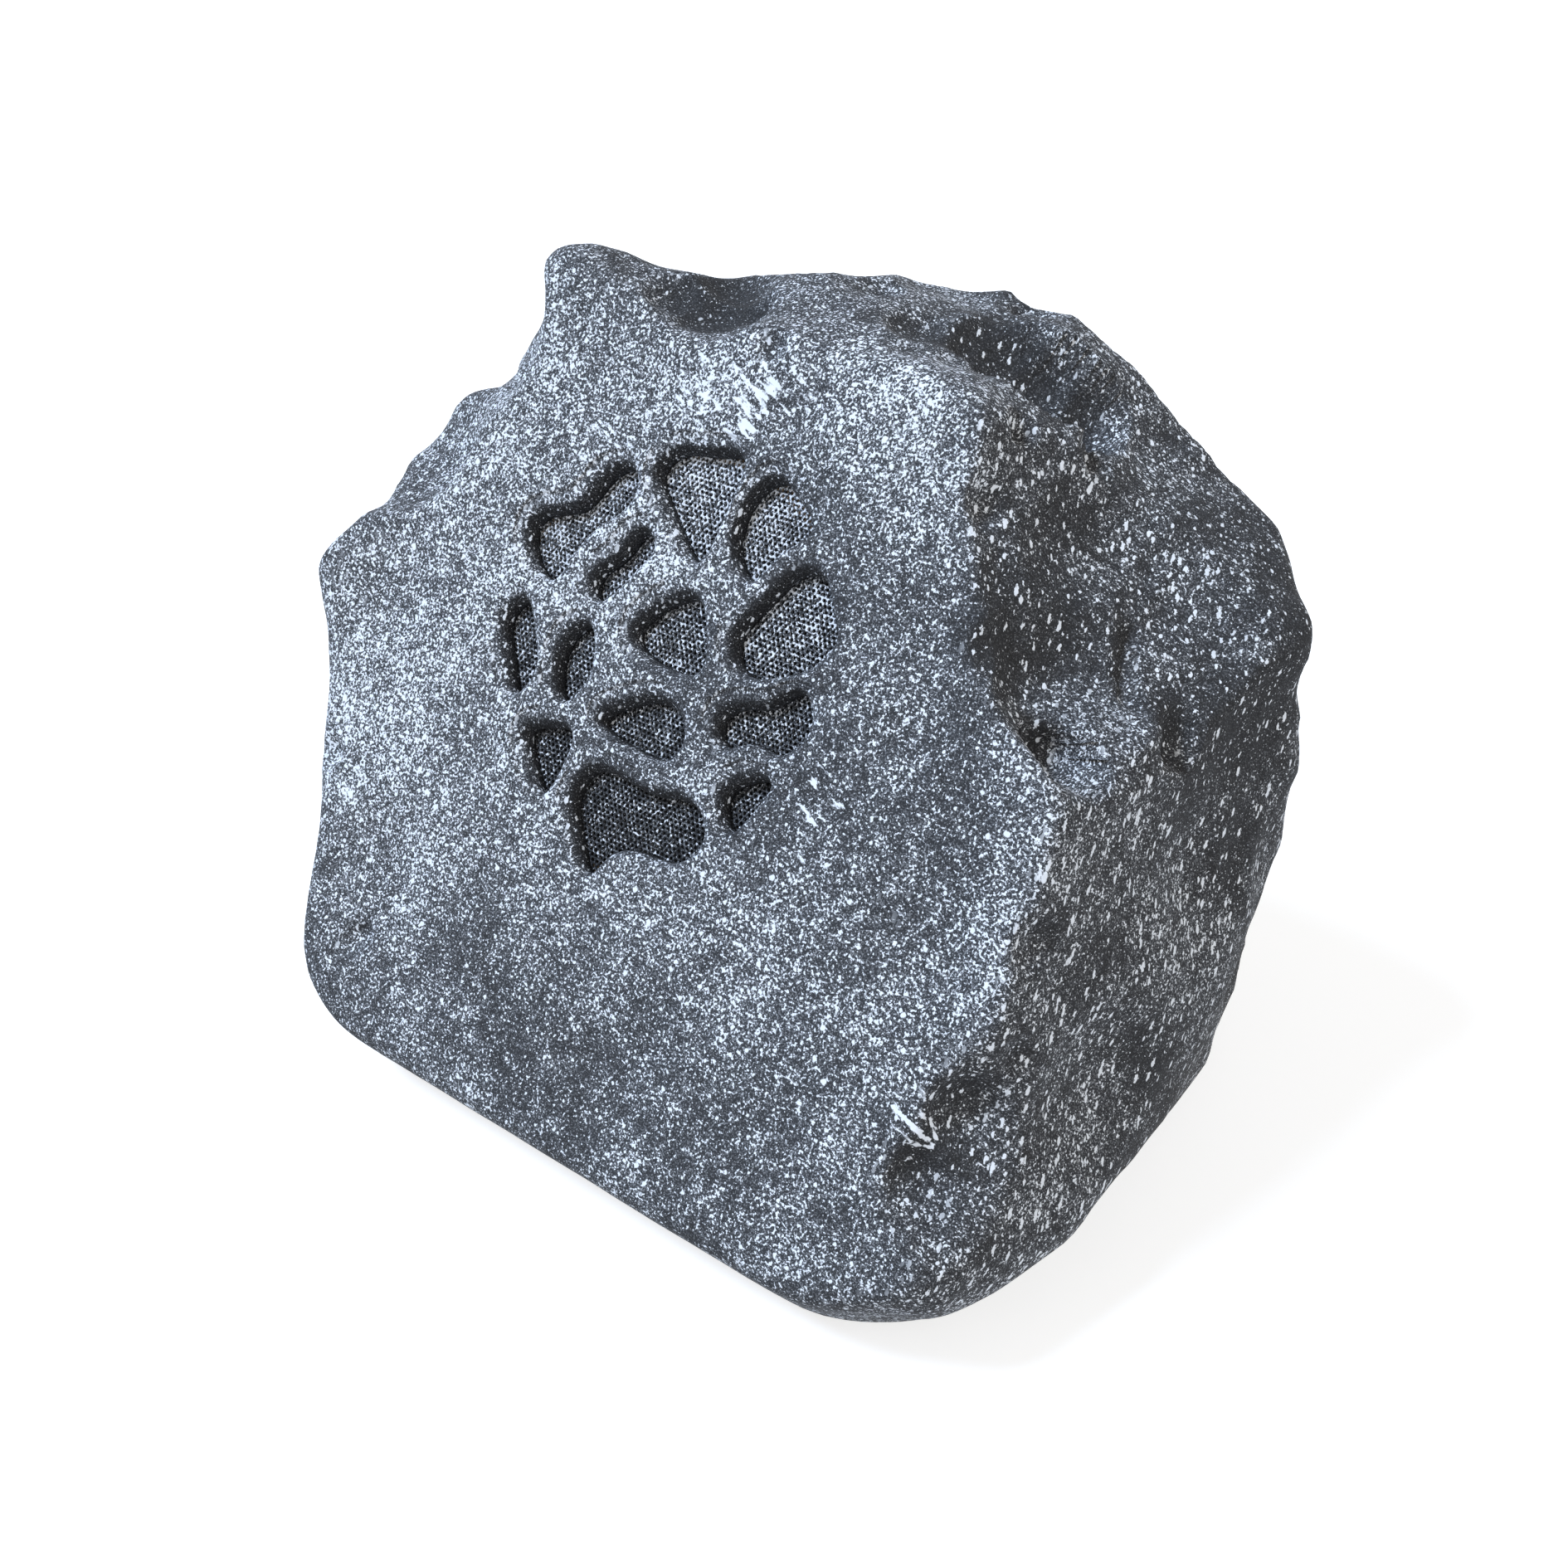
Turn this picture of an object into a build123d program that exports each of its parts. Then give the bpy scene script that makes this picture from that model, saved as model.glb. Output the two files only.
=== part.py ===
# Rock shaped garden speaker: a hollow hewn stone with a web of sound openings in its leaning front,
# a perforated sheet and a round wide-range driver behind them, a screwed base with rubber feet,
# and a cable gland low on its back. Millimetres, +Z up, front towards -Y,
# origin on the ground under the middle of the stone.
from math import cos, hypot, radians, sin, sqrt, tan
import os

from build123d import *

# Stone: planes given by azimuth (0 is the front, 90 the right), elevation and distance from the heart
heart_right = 1.99
heart_back = -13.57
heart_height = 120
heart = Vector(heart_right, heart_back, heart_height)
raw_block = 500
front_lean = 31
facets = {
    "front": (0, front_lean, 68),
    "front_base": (0, -35, 163),
    "corner_base": (40, -32, 203),
    "right_base": (84, -36, 192),
    "right": (78, 10, 163),
    "right_back": (104, -8, 185),
    "right_upper": (72, 38, 160),
    "back_right": (140, 0, 172),
    "top": (131, 88, 154),
    "top_right": (100, 54, 168),
    "back": (180, 10, 128),
    "back_left_upper": (-150, 47, 165),
    "back_left": (-130, 5, 164),
    "left": (-77, -15, 159),
    "left_upper": (-74, 35, 168),
    "left_base": (-40, -30, 190),
}
edge_radius = 12
wall = 5
web_thickness = 7

# Hollows chipped out of the stone: centre of the striking sphere from the heart, and its radius
hollows = {
    "right_shoulder": (Vector(223, -20, 188), 150),
    "right_scoop": (Vector(148, -13, 100), 42),
    "crown": (Vector(52, 46, 200), 52),
    "crown_left": (Vector(-45, 70, 245), 95),
    "cleft": (Vector(-36, 16, 178), 33),
    "left_step": (Vector(-165, -37, 119), 56),
    "left_upper_step": (Vector(-145, -18, 147), 51),
    "near_corner": (Vector(191, -119, -18), 58),
}

# Scallops struck off the facets: facet, place to the right and up on it, radius of the strike and depth
scallops = {
    "front_low_left": ("front", -100, -85, 120, 2.5),
    "front_low": ("front", 25, -112, 130, 2.5),
    "front_right": ("front", 122, -25, 110, 2.5),
    "front_left": ("front", -136, 10, 110, 2.5),
    "right_near": ("right", -5, -70, 80, 6),
    "right_far": ("right", 60, -25, 100, 4),
    "right_back_low": ("right_back", 20, -30, 100, 4),
    "back_right_broad": ("back_right", 0, 10, 110, 4),
    "back_upper": ("back", 40, 30, 120, 4),
    "back_low": ("back", 60, -60, 110, 4),
    "back_left_broad": ("back_left", 10, -10, 110, 4),
    "left_low": ("left", 10, -20, 110, 4),
}

# Base: feet, plate, gasket and the flange that the plate is screwed to
rim_height = 4
foot_height = 6
foot_radius = 15
foot_taper = 4
foot_spread_x = 92
foot_front_y = -84
foot_back_y = 80
plate_thickness = 4
plate_clearance = 1
base_gasket_thickness = 1.5
flange_thickness = 5
flange_width = 14
base_screw_count = 10

# Sound openings: outlines on the front, right and up from the driver's axis
axis_right = -11
axis_up = 22
lip_radius = 2.5
sound_openings = {
    "upper_left_bean": [
        (-67, 32), (-49, 42), (-42, 54), (-32, 60), (-28, 54), (-37, 40), (-45, 28), (-52, 15), (-61, 18),
    ],
    "small_bean": [(-33, 18), (-25, 31), (-18, 41), (-14, 39), (-17, 29), (-24, 18), (-30, 14)],
    "top_wedge": [
        (-21, 63), (-15, 70), (-1, 73), (11, 74), (12, 66), (10, 48), (6, 38), (-3, 43), (-15, 54),
    ],
    "top_right": [(21, 66), (27, 71), (37, 67), (45, 60), (38, 51), (28, 38), (22, 42)],
    "right_big": [
        (49, 46), (55, 46), (62, 38), (67, 29), (62, 19), (49, 11), (37, 9), (31, 16), (37, 32),
    ],
    "middle": [(-9, 7), (-1, 20), (12, 25), (18, 16), (21, 5), (5, 1)],
    "left_slot": [(-65, 0), (-60, 4), (-55, -1), (-48, -22), (-52, -27), (-58, -20)],
    "left_oval": [(-37, -14), (-36, -2), (-30, 4), (-24, -5), (-24, -15), (-31, -23)],
    "lower_middle": [(-12, -24), (-4, -17), (14, -11), (22, -16), (22, -25), (6, -29)],
    "lower_right": [
        (35, -11), (40, -3), (51, 1), (62, 9), (67, 5), (66, -7), (59, -12), (48, -12), (39, -16),
    ],
    "left_wedge": [(-41, -38), (-33, -34), (-23, -33), (-22, -43), (-27, -56), (-35, -49)],
    "bottom_big": [
        (-13, -52), (-9, -42), (1, -40), (19, -41), (36, -39), (43, -47),
        (36, -58), (18, -61), (9, -66), (3, -75), (-6, -66),
    ],
    "bottom_wedge": [(46, -32), (49, -27), (61, -22), (58, -32), (52, -41)],
}

# Perforated sheet and the baffle ring that clamps it in the seat behind the front
seat_width = 11
seat_height = 8
sheet_thickness = 1
sheet_pitch = 14
sheet_hole = 9
sheet_margin = 7
fit_clearance = 0.3
baffle_land = 10
baffle_thickness = 8
baffle_screw_count = 8

# Driver
driver_radius = 82
driver_rim_room = 1.9
driver_rim_width = 8
driver_screw_count = 8
driver_gasket_thickness = 2
basket_thickness = 1.5
basket_rim_width = 12
basket_depth = 39
basket_neck = 36
shelf_depth = 31
shelf_radius = 45
basket_window_count = 6
basket_window_width = 34
basket_window_height = 19
surround_lip = 4.7
surround_thickness = 1
cone_radius = 58
cone_depth = 25
cone_thickness = 1
coil_radius = 13.4
former_thickness = 0.6
winding_thickness = 1
winding_height = 10
coil_gap = 0.8
top_plate_radius = 40
top_plate_thickness = 5
magnet_radius = 45
magnet_bore = 20
magnet_thickness = 15
yoke_radius = 42
yoke_thickness = 5
dust_cap_radius = 18
dust_cap_rise = 6
spider_wave = 1
spider_waves = 3
spider_thickness = 0.8
terminal_width = 24
terminal_height = 10
terminal_thickness = 2
tag_width = 5
tag_thickness = 0.8
tag_length = 9

# Screws
screw_radius = 2
screw_head_radius = 3.6
screw_head_height = 2.4
thread_clearance = 0.1
hole_clearance = 0.3
thread_grip = 6

# Cable gland
gland_right = -30
gland_up = -88
gland_thread_radius = 8
gland_bore = 5
gland_hex = 22
gland_flange = 5
gland_nut_thickness = 5
gland_tail = 4
gland_neck = 9
gland_cap_radius = 10.5
gland_cap_end = 3
gland_cap_mouth = 4.2
gland_seal_bore = 3.5
gland_seal_radius = 6.6
gland_seal_length = 6


def facing(azimuth, elevation):
    """The outward direction at an azimuth and an elevation."""
    turn = radians(azimuth)
    rise = radians(elevation)
    return Vector(sin(turn) * cos(rise), -cos(turn) * cos(rise), sin(rise))


def facet_plane(name, inset=0):
    """The plane of a facet, drawn in by inset; its origin is the point nearest the heart."""
    azimuth, elevation, distance = facets[name]
    outward = facing(azimuth, elevation)
    level = Vector(cos(radians(azimuth)), sin(radians(azimuth)), 0)
    return Plane(heart + outward * (distance - inset), x_dir=level, z_dir=outward)


def sharp(inset):
    """The block cut by the facets, each drawn in by inset, from the stone's rim up."""
    with BuildPart() as block:
        with Locations(heart):
            Box(raw_block, raw_block, raw_block)
        for name in facets:
            split(bisect_by=facet_plane(name, inset), keep=Keep.BOTTOM)
        split(bisect_by=Plane.XY.offset(rim_height), keep=Keep.TOP)
    return block.part


def hewn(inset):
    """The stone from its rim up, with every facet, edge, hollow and scallop drawn in by inset."""
    block = sharp(inset)
    with BuildPart() as stone:
        add(block)
        arrises = stone.edges().filter_by(lambda edge: edge.center().Z > rim_height + lip_radius)
        fillet(arrises, radius=edge_radius - inset)
        for centre, radius in hollows.values():
            with Locations(heart + centre):
                Sphere(radius + inset, mode=Mode.SUBTRACT)
        for name, right, up, radius, depth in scallops.values():
            struck = facet_plane(name)
            centre = struck.from_local_coords(Vector(right, up, radius - depth))
            with Locations(Plane(centre, x_dir=struck.z_dir, z_dir=struck.x_dir)):
                Sphere(radius + inset, mode=Mode.SUBTRACT)
    return stone.part


def rim_outline(inset):
    """The stone's outline at its rim, drawn in by inset, on the ground."""
    with BuildSketch() as outline:
        add(-rim_face)
        offset(amount=-inset, kind=Kind.INTERSECTION)
        fillet(outline.vertices(), radius=edge_radius - wall)
    return outline.sketch


def half_profile(*points):
    """A closed half profile of (radius, depth) points in a plane through the driver's axis."""
    with BuildSketch(profile_plane) as profile:
        with BuildLine():
            Polyline(*points, close=True)
        make_face()
    return profile.sketch


def pan_screw(shank_length):
    """A pan head screw: its head stands on the plane and its shank goes down from it."""
    Cylinder(screw_head_radius, screw_head_height, align=(Align.CENTER, Align.CENTER, Align.MIN))
    Cylinder(screw_radius, shank_length, align=(Align.CENTER, Align.CENTER, Align.MAX))


def finish(piece, name):
    """Name a finished piece and write it."""
    piece.part.label = name
    export_step(piece.part, f"parts/{name}.step")


os.makedirs("parts", exist_ok=True)

# Levels of the base, from the ground up
plate_top = foot_height + plate_thickness
flange_bottom = plate_top + base_gasket_thickness
flange_top = flange_bottom + flange_thickness

# The driver's axis: depths are measured inwards from the front
front = facet_plane("front")
axis_point = front.from_local_coords(Vector(axis_right, axis_up, 0))
face_plane = Plane(axis_point, x_dir=front.x_dir, z_dir=front.z_dir)
inward = Plane(axis_point, x_dir=front.x_dir, z_dir=-front.z_dir)
profile_plane = Plane(axis_point, x_dir=inward.x_dir, z_dir=-inward.y_dir)
driver_axis = Axis(axis_point, inward.z_dir)
outward_axis = Axis(axis_point, face_plane.z_dir)
seat_depth = web_thickness + seat_height
baffle_depth = seat_depth + baffle_thickness
basket_front = baffle_depth + driver_gasket_thickness
seat_screw_circle = driver_radius + driver_rim_room + screw_head_radius
seat_inner = seat_screw_circle - seat_width / 2
seat_outer = seat_screw_circle + seat_width / 2
baffle_bore = driver_radius - baffle_land
driver_gasket_inner = driver_radius - driver_rim_width
driver_screw_circle = driver_radius - driver_rim_width / 2
basket_throat = driver_radius - basket_rim_width
through_cut = 3 * wall

# Stone and the space inside it
rim_face = sharp(0).faces().sort_by(Axis.Z)[0]
stone = hewn(0)
cavity = split(hewn(wall), bisect_by=Plane.XY.offset(flange_top), keep=Keep.TOP)
plate_recess = rim_outline(wall)
flange_opening = rim_outline(wall + flange_width)
screw_path = rim_outline(wall + flange_width / 2).wire()
base_screw_points = [screw_path @ (number / base_screw_count) for number in range(base_screw_count)]

# Cable gland: on the back facet, looking out
back = facet_plane("back")
gland_plane = Plane(
    back.from_local_coords(Vector(gland_right, gland_up, 0)), x_dir=back.x_dir, z_dir=back.z_dir
)

# Front web: the round of the front that holds the sound openings, with the driver's seat behind it
with BuildPart() as front_web:
    with BuildSketch(inward):
        Circle(seat_outer)
    extrude(amount=web_thickness)
    with BuildSketch(face_plane.offset(wall)):
        for outline in sound_openings.values():
            with BuildLine():
                Spline(*outline, periodic=True)
            make_face()
    extrude(amount=-through_cut, mode=Mode.SUBTRACT)
    web_face = front_web.faces().sort_by(outward_axis)[-1]
    fillet([loop.edge() for loop in web_face.inner_wires()], radius=lip_radius)
    with BuildSketch(inward.offset(web_thickness)):
        Circle(seat_outer)
        Circle(seat_inner, mode=Mode.SUBTRACT)
    extrude(amount=seat_height)
    with BuildSketch(inward.offset(seat_depth)):
        with PolarLocations(seat_screw_circle, baffle_screw_count):
            Circle(screw_radius + thread_clearance)
    extrude(amount=-thread_grip, mode=Mode.SUBTRACT)

# Rock shell: one moulding, the hollow stone with its base flange and its front web
with BuildPart() as rock_shell:
    add(stone)
    add(cavity, mode=Mode.SUBTRACT)
    extrude(plate_recess, amount=flange_bottom, mode=Mode.SUBTRACT)
    extrude(flange_opening, amount=flange_top, mode=Mode.SUBTRACT)
    with BuildSketch(Plane.XY.offset(flange_bottom)):
        with Locations(*base_screw_points):
            Circle(screw_radius + thread_clearance)
    extrude(amount=flange_thickness, mode=Mode.SUBTRACT)
    with BuildSketch(gland_plane.offset(wall)):
        Circle(gland_thread_radius + hole_clearance)
    extrude(amount=-through_cut, mode=Mode.SUBTRACT)
    with BuildSketch(face_plane.offset(wall)):
        Circle(seat_outer)
    extrude(amount=-through_cut, mode=Mode.SUBTRACT)
    add(front_web.part)
finish(rock_shell, "rock_shell")

# Perforated sheet: a steel disc in the seat, against the back of the web
sheet_radius = seat_inner - fit_clearance
row_rise = sheet_pitch * sqrt(3) / 2
row_count = int(sheet_radius / row_rise)
sheet_holes = [
    (sheet_pitch * (column + (row % 2) / 2), row_rise * row)
    for row in range(-row_count, row_count + 1)
    for column in range(-row_count - 1, row_count + 1)
]
with BuildPart() as grille_sheet:
    with BuildSketch(inward.offset(web_thickness)):
        Circle(sheet_radius)
        with Locations(*[hole for hole in sheet_holes if hypot(*hole) < sheet_radius - sheet_margin]):
            RegularPolygon(sheet_hole / 2, 6, mode=Mode.SUBTRACT)
    extrude(amount=sheet_thickness)
finish(grille_sheet, "grille_sheet")

# Baffle ring: its spigot clamps the sheet, its flange is screwed to the seat and carries the driver
baffle_profile = half_profile(
    (baffle_bore, web_thickness + sheet_thickness),
    (seat_inner - fit_clearance, web_thickness + sheet_thickness),
    (seat_inner - fit_clearance, seat_depth),
    (seat_outer, seat_depth),
    (seat_outer, baffle_depth),
    (baffle_bore, baffle_depth),
)
with BuildPart() as baffle_ring:
    revolve(baffle_profile, axis=driver_axis)
    with BuildSketch(inward.offset(baffle_depth)):
        with PolarLocations(seat_screw_circle, baffle_screw_count):
            Circle(screw_radius + hole_clearance)
    extrude(amount=-baffle_thickness, mode=Mode.SUBTRACT)
    with BuildSketch(inward.offset(baffle_depth)):
        with PolarLocations(driver_screw_circle, driver_screw_count):
            Circle(screw_radius + thread_clearance)
    extrude(amount=-thread_grip, mode=Mode.SUBTRACT)
finish(baffle_ring, "baffle_ring")

with BuildPart(inward.offset(baffle_depth)) as baffle_screws:
    with PolarLocations(seat_screw_circle, baffle_screw_count):
        pan_screw(baffle_thickness + thread_grip)
finish(baffle_screws, "baffle_screws")

# Driver gasket: a foam ring between the baffle and the basket
with BuildPart() as driver_gasket:
    with BuildSketch(inward.offset(baffle_depth)):
        Circle(driver_radius)
        Circle(driver_gasket_inner, mode=Mode.SUBTRACT)
        with PolarLocations(driver_screw_circle, driver_screw_count):
            Circle(screw_radius + hole_clearance, mode=Mode.SUBTRACT)
    extrude(amount=driver_gasket_thickness)
finish(driver_gasket, "driver_gasket")

# Basket: pressed steel, with windows in its conical wall and a shelf for the spider
shelf_level = basket_front + shelf_depth
basket_floor = basket_front + basket_depth
basket_profile = half_profile(
    (driver_radius, basket_front),
    (basket_throat, basket_front),
    (shelf_radius, shelf_level),
    (basket_neck, shelf_level),
    (basket_neck, basket_floor),
    (coil_radius + winding_thickness + coil_gap, basket_floor),
    (coil_radius + winding_thickness + coil_gap, basket_floor + basket_thickness),
    (basket_neck + basket_thickness, basket_floor + basket_thickness),
    (basket_neck + basket_thickness, shelf_level + basket_thickness),
    (shelf_radius + basket_thickness, shelf_level + basket_thickness),
    (basket_throat + 2 * basket_thickness, basket_front + basket_thickness),
    (driver_radius, basket_front + basket_thickness),
)
window_level = basket_front + shelf_depth / 2
window_reach = 2 * (driver_radius - basket_neck)
with BuildPart() as driver_basket:
    revolve(basket_profile, axis=driver_axis)
    with BuildSketch(inward.offset(basket_front)):
        with PolarLocations(driver_screw_circle, driver_screw_count):
            Circle(screw_radius + hole_clearance)
    extrude(amount=basket_thickness, mode=Mode.SUBTRACT)
    with Locations(inward.offset(window_level).location):
        with PolarLocations(driver_radius, basket_window_count):
            Box(window_reach, basket_window_width, basket_window_height, mode=Mode.SUBTRACT)
finish(driver_basket, "driver_basket")

with BuildPart(inward.offset(basket_front + basket_thickness)) as driver_screws:
    with PolarLocations(driver_screw_circle, driver_screw_count):
        pan_screw(basket_thickness + driver_gasket_thickness + thread_grip)
finish(driver_screws, "driver_screws")

# Motor: front plate, ferrite ring and the yoke with its centre pole
gap_radius = coil_radius + winding_thickness + coil_gap
pole_radius = coil_radius - former_thickness - coil_gap
motor_front = basket_floor + basket_thickness
magnet_front = motor_front + top_plate_thickness
yoke_front = magnet_front + magnet_thickness
with BuildPart() as top_plate:
    with BuildSketch(inward.offset(motor_front)):
        Circle(top_plate_radius)
        Circle(gap_radius, mode=Mode.SUBTRACT)
    extrude(amount=top_plate_thickness)
finish(top_plate, "top_plate")

with BuildPart() as magnet_ring:
    with BuildSketch(inward.offset(magnet_front)):
        Circle(magnet_radius)
        Circle(magnet_bore, mode=Mode.SUBTRACT)
    extrude(amount=magnet_thickness)
finish(magnet_ring, "magnet_ring")

yoke_profile = half_profile(
    (0, motor_front),
    (pole_radius, motor_front),
    (pole_radius, yoke_front),
    (yoke_radius, yoke_front),
    (yoke_radius, yoke_front + yoke_thickness),
    (0, yoke_front + yoke_thickness),
)
with BuildPart() as pole_yoke:
    revolve(yoke_profile, axis=driver_axis)
finish(pole_yoke, "pole_yoke")

# Moving assembly: former, winding, cone and dust cap
coil_level = motor_front + top_plate_thickness / 2
cone_apex = basket_front + cone_depth
cone_slope = cone_depth / (cone_radius - coil_radius)
with BuildPart() as voice_coil_former:
    with BuildSketch(inward.offset(cone_apex)):
        Circle(coil_radius)
        Circle(coil_radius - former_thickness, mode=Mode.SUBTRACT)
    extrude(amount=coil_level + winding_height / 2 - cone_apex)
finish(voice_coil_former, "voice_coil_former")

with BuildPart() as voice_coil_winding:
    with BuildSketch(inward.offset(coil_level - winding_height / 2)):
        Circle(coil_radius + winding_thickness)
        Circle(coil_radius, mode=Mode.SUBTRACT)
    extrude(amount=winding_height)
finish(voice_coil_winding, "voice_coil_winding")

cone_profile = half_profile(
    (coil_radius, cone_apex),
    (cone_radius, basket_front),
    (cone_radius, basket_front + cone_thickness),
    (coil_radius, cone_apex + cone_thickness),
)
with BuildPart() as cone:
    revolve(cone_profile, axis=driver_axis)
finish(cone, "cone")

cap_rim = cone_apex - (dust_cap_radius - coil_radius) * cone_slope
with BuildPart() as dust_cap:
    with BuildSketch(profile_plane):
        with BuildLine():
            ThreePointArc(
                (-dust_cap_radius, cap_rim - cone_thickness),
                (0, cap_rim - dust_cap_rise - cone_thickness),
                (dust_cap_radius, cap_rim - cone_thickness),
            )
            Line((dust_cap_radius, cap_rim - cone_thickness), (dust_cap_radius, cap_rim))
            ThreePointArc(
                (dust_cap_radius, cap_rim), (0, cap_rim - dust_cap_rise), (-dust_cap_radius, cap_rim)
            )
            Line((-dust_cap_radius, cap_rim), (-dust_cap_radius, cap_rim - cone_thickness))
        make_face()
        split(bisect_by=Plane.YZ)
    revolve(axis=driver_axis)
finish(dust_cap, "dust_cap")

# Suspension: the half roll surround and the corrugated spider
roll_inner = (driver_gasket_inner - fit_clearance - surround_lip - cone_radius) / 2
roll_outer = roll_inner + surround_thickness
roll_middle = cone_radius + roll_inner
with BuildPart() as surround:
    with BuildSketch(profile_plane):
        with Locations((roll_middle, basket_front)):
            Circle(roll_outer)
            Circle(roll_inner, mode=Mode.SUBTRACT)
            Rectangle(2 * roll_outer, roll_outer, align=(Align.CENTER, Align.MIN), mode=Mode.SUBTRACT)
        with Locations((roll_middle + roll_inner, basket_front)):
            Rectangle(surround_lip, surround_thickness, align=(Align.MIN, Align.MAX))
    revolve(axis=driver_axis)
finish(surround, "surround")

spider_level = shelf_level - spider_thickness
wave_step = (basket_neck - coil_radius) / (2 * spider_waves + 1)
wave_crests = [
    (coil_radius + wave_step * (crest + 1), spider_level + spider_wave * (-1) ** crest)
    for crest in range(2 * spider_waves)
]
spider_front = [(coil_radius, spider_level), *wave_crests, (basket_neck, spider_level)]
spider_front.append((shelf_radius - spider_thickness, spider_level))
spider_back = [(radius, level + spider_thickness) for radius, level in reversed(spider_front)]
spider_profile = half_profile(*spider_front, *spider_back)
with BuildPart() as spider:
    revolve(spider_profile, axis=driver_axis)
finish(spider, "spider")

# Terminal board: a strip with two tags on the back of the spider's shelf
terminal_level = shelf_level + basket_thickness
terminal_middle = basket_neck + basket_thickness + fit_clearance + terminal_height / 2
with BuildPart() as terminal_board:
    with BuildSketch(inward.offset(terminal_level)):
        with Locations((terminal_middle, 0)):
            Rectangle(terminal_height, terminal_width)
    extrude(amount=terminal_thickness)
    with BuildSketch(inward.offset(terminal_level + terminal_thickness)):
        with Locations((terminal_middle, 0)):
            with GridLocations(0, terminal_width / 2, 1, 2):
                Rectangle(tag_length, tag_width, align=(Align.MIN, Align.CENTER))
    extrude(amount=tag_thickness)
finish(terminal_board, "terminal_board")

# Base: plate, gasket and their screws from below
foot_places = {
    "foot_front_left": (-foot_spread_x, foot_front_y),
    "foot_front_right": (foot_spread_x, foot_front_y),
    "foot_back_left": (-foot_spread_x, foot_back_y),
    "foot_back_right": (foot_spread_x, foot_back_y),
}
plate_outline = rim_outline(wall + plate_clearance)
with BuildPart() as base_plate:
    extrude(plate_outline.moved(Location((0, 0, foot_height))), amount=plate_thickness)
    with BuildSketch(Plane.XY.offset(foot_height)):
        with Locations(*base_screw_points):
            Circle(screw_radius + hole_clearance)
        with Locations(*foot_places.values()):
            Circle(screw_radius + thread_clearance)
    extrude(amount=plate_thickness, mode=Mode.SUBTRACT)
finish(base_plate, "base_plate")

with BuildPart() as base_gasket:
    extrude(plate_outline.moved(Location((0, 0, plate_top))), amount=base_gasket_thickness)
    extrude(flange_opening, amount=flange_bottom, mode=Mode.SUBTRACT)
    with BuildSketch(Plane.XY.offset(plate_top)):
        with Locations(*base_screw_points):
            Circle(screw_radius + hole_clearance)
    extrude(amount=base_gasket_thickness, mode=Mode.SUBTRACT)
finish(base_gasket, "base_gasket")

upside_down = (180, 0, 0)
with BuildPart() as base_screws:
    for point in base_screw_points:
        with Locations(Location((point.X, point.Y, foot_height), upside_down)):
            pan_screw(plate_thickness + base_gasket_thickness + flange_thickness)
finish(base_screws, "base_screws")

# Feet: tapered rubber, each held by a screw sunk in its underside
foot_recess = screw_head_height + hole_clearance
for name, place in foot_places.items():
    with BuildPart() as foot:
        with Locations(place):
            Cone(
                foot_radius - foot_height * tan(radians(foot_taper)), foot_radius, foot_height,
                align=(Align.CENTER, Align.CENTER, Align.MIN),
            )
        with Locations(Location((*place, 0), upside_down)):
            CounterBoreHole(
                screw_radius + hole_clearance, screw_head_radius + hole_clearance, foot_recess
            )
    finish(foot, name)

with BuildPart() as foot_screws:
    with Locations(*[Location((*place, foot_recess), upside_down) for place in foot_places.values()]):
        pan_screw(plate_top - foot_recess)
finish(foot_screws, "foot_screws")

# Gland: body through the wall, locknut inside, rubber seal in its mouth and cap over it
gland_mouth = gland_flange + gland_neck
with BuildPart(gland_plane) as gland_body:
    with BuildSketch(gland_plane):
        RegularPolygon(gland_hex / 2, 6, major_radius=False)
    extrude(amount=gland_flange)
    with BuildSketch(gland_plane.offset(-wall - gland_nut_thickness - gland_tail)):
        Circle(gland_thread_radius)
    extrude(amount=wall + gland_nut_thickness + gland_tail + gland_mouth)
    with BuildSketch(gland_plane.offset(gland_mouth)):
        Circle(gland_bore)
    extrude(amount=-gland_mouth - wall - gland_nut_thickness - gland_tail, mode=Mode.SUBTRACT)
    with BuildSketch(gland_plane.offset(gland_mouth)):
        Circle(gland_seal_radius + thread_clearance)
    extrude(amount=-gland_seal_length, mode=Mode.SUBTRACT)
finish(gland_body, "gland_body")

with BuildPart() as gland_locknut:
    with BuildSketch(gland_plane.offset(-wall)):
        RegularPolygon(gland_hex / 2, 6, major_radius=False)
        Circle(gland_thread_radius + thread_clearance, mode=Mode.SUBTRACT)
    extrude(amount=-gland_nut_thickness)
finish(gland_locknut, "gland_locknut")

with BuildPart() as gland_seal:
    with BuildSketch(gland_plane.offset(gland_mouth)):
        Circle(gland_seal_radius)
        Circle(gland_seal_bore, mode=Mode.SUBTRACT)
    extrude(amount=-gland_seal_length)
finish(gland_seal, "gland_seal")

with BuildPart() as gland_cap:
    with BuildSketch(gland_plane.offset(gland_flange + fit_clearance)):
        Circle(gland_cap_radius)
    extrude(amount=gland_neck + gland_cap_end - fit_clearance)
    gland_axis = Axis(gland_plane.origin, gland_plane.z_dir)
    fillet(gland_cap.edges().sort_by(gland_axis)[-1], radius=gland_cap_end)
    with BuildSketch(gland_plane.offset(gland_flange)):
        Circle(gland_thread_radius + thread_clearance)
    extrude(amount=gland_neck, mode=Mode.SUBTRACT)
    with BuildSketch(gland_plane.offset(gland_mouth)):
        Circle(gland_cap_mouth)
    extrude(amount=gland_cap_end, mode=Mode.SUBTRACT)
finish(gland_cap, "gland_cap")
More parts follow.
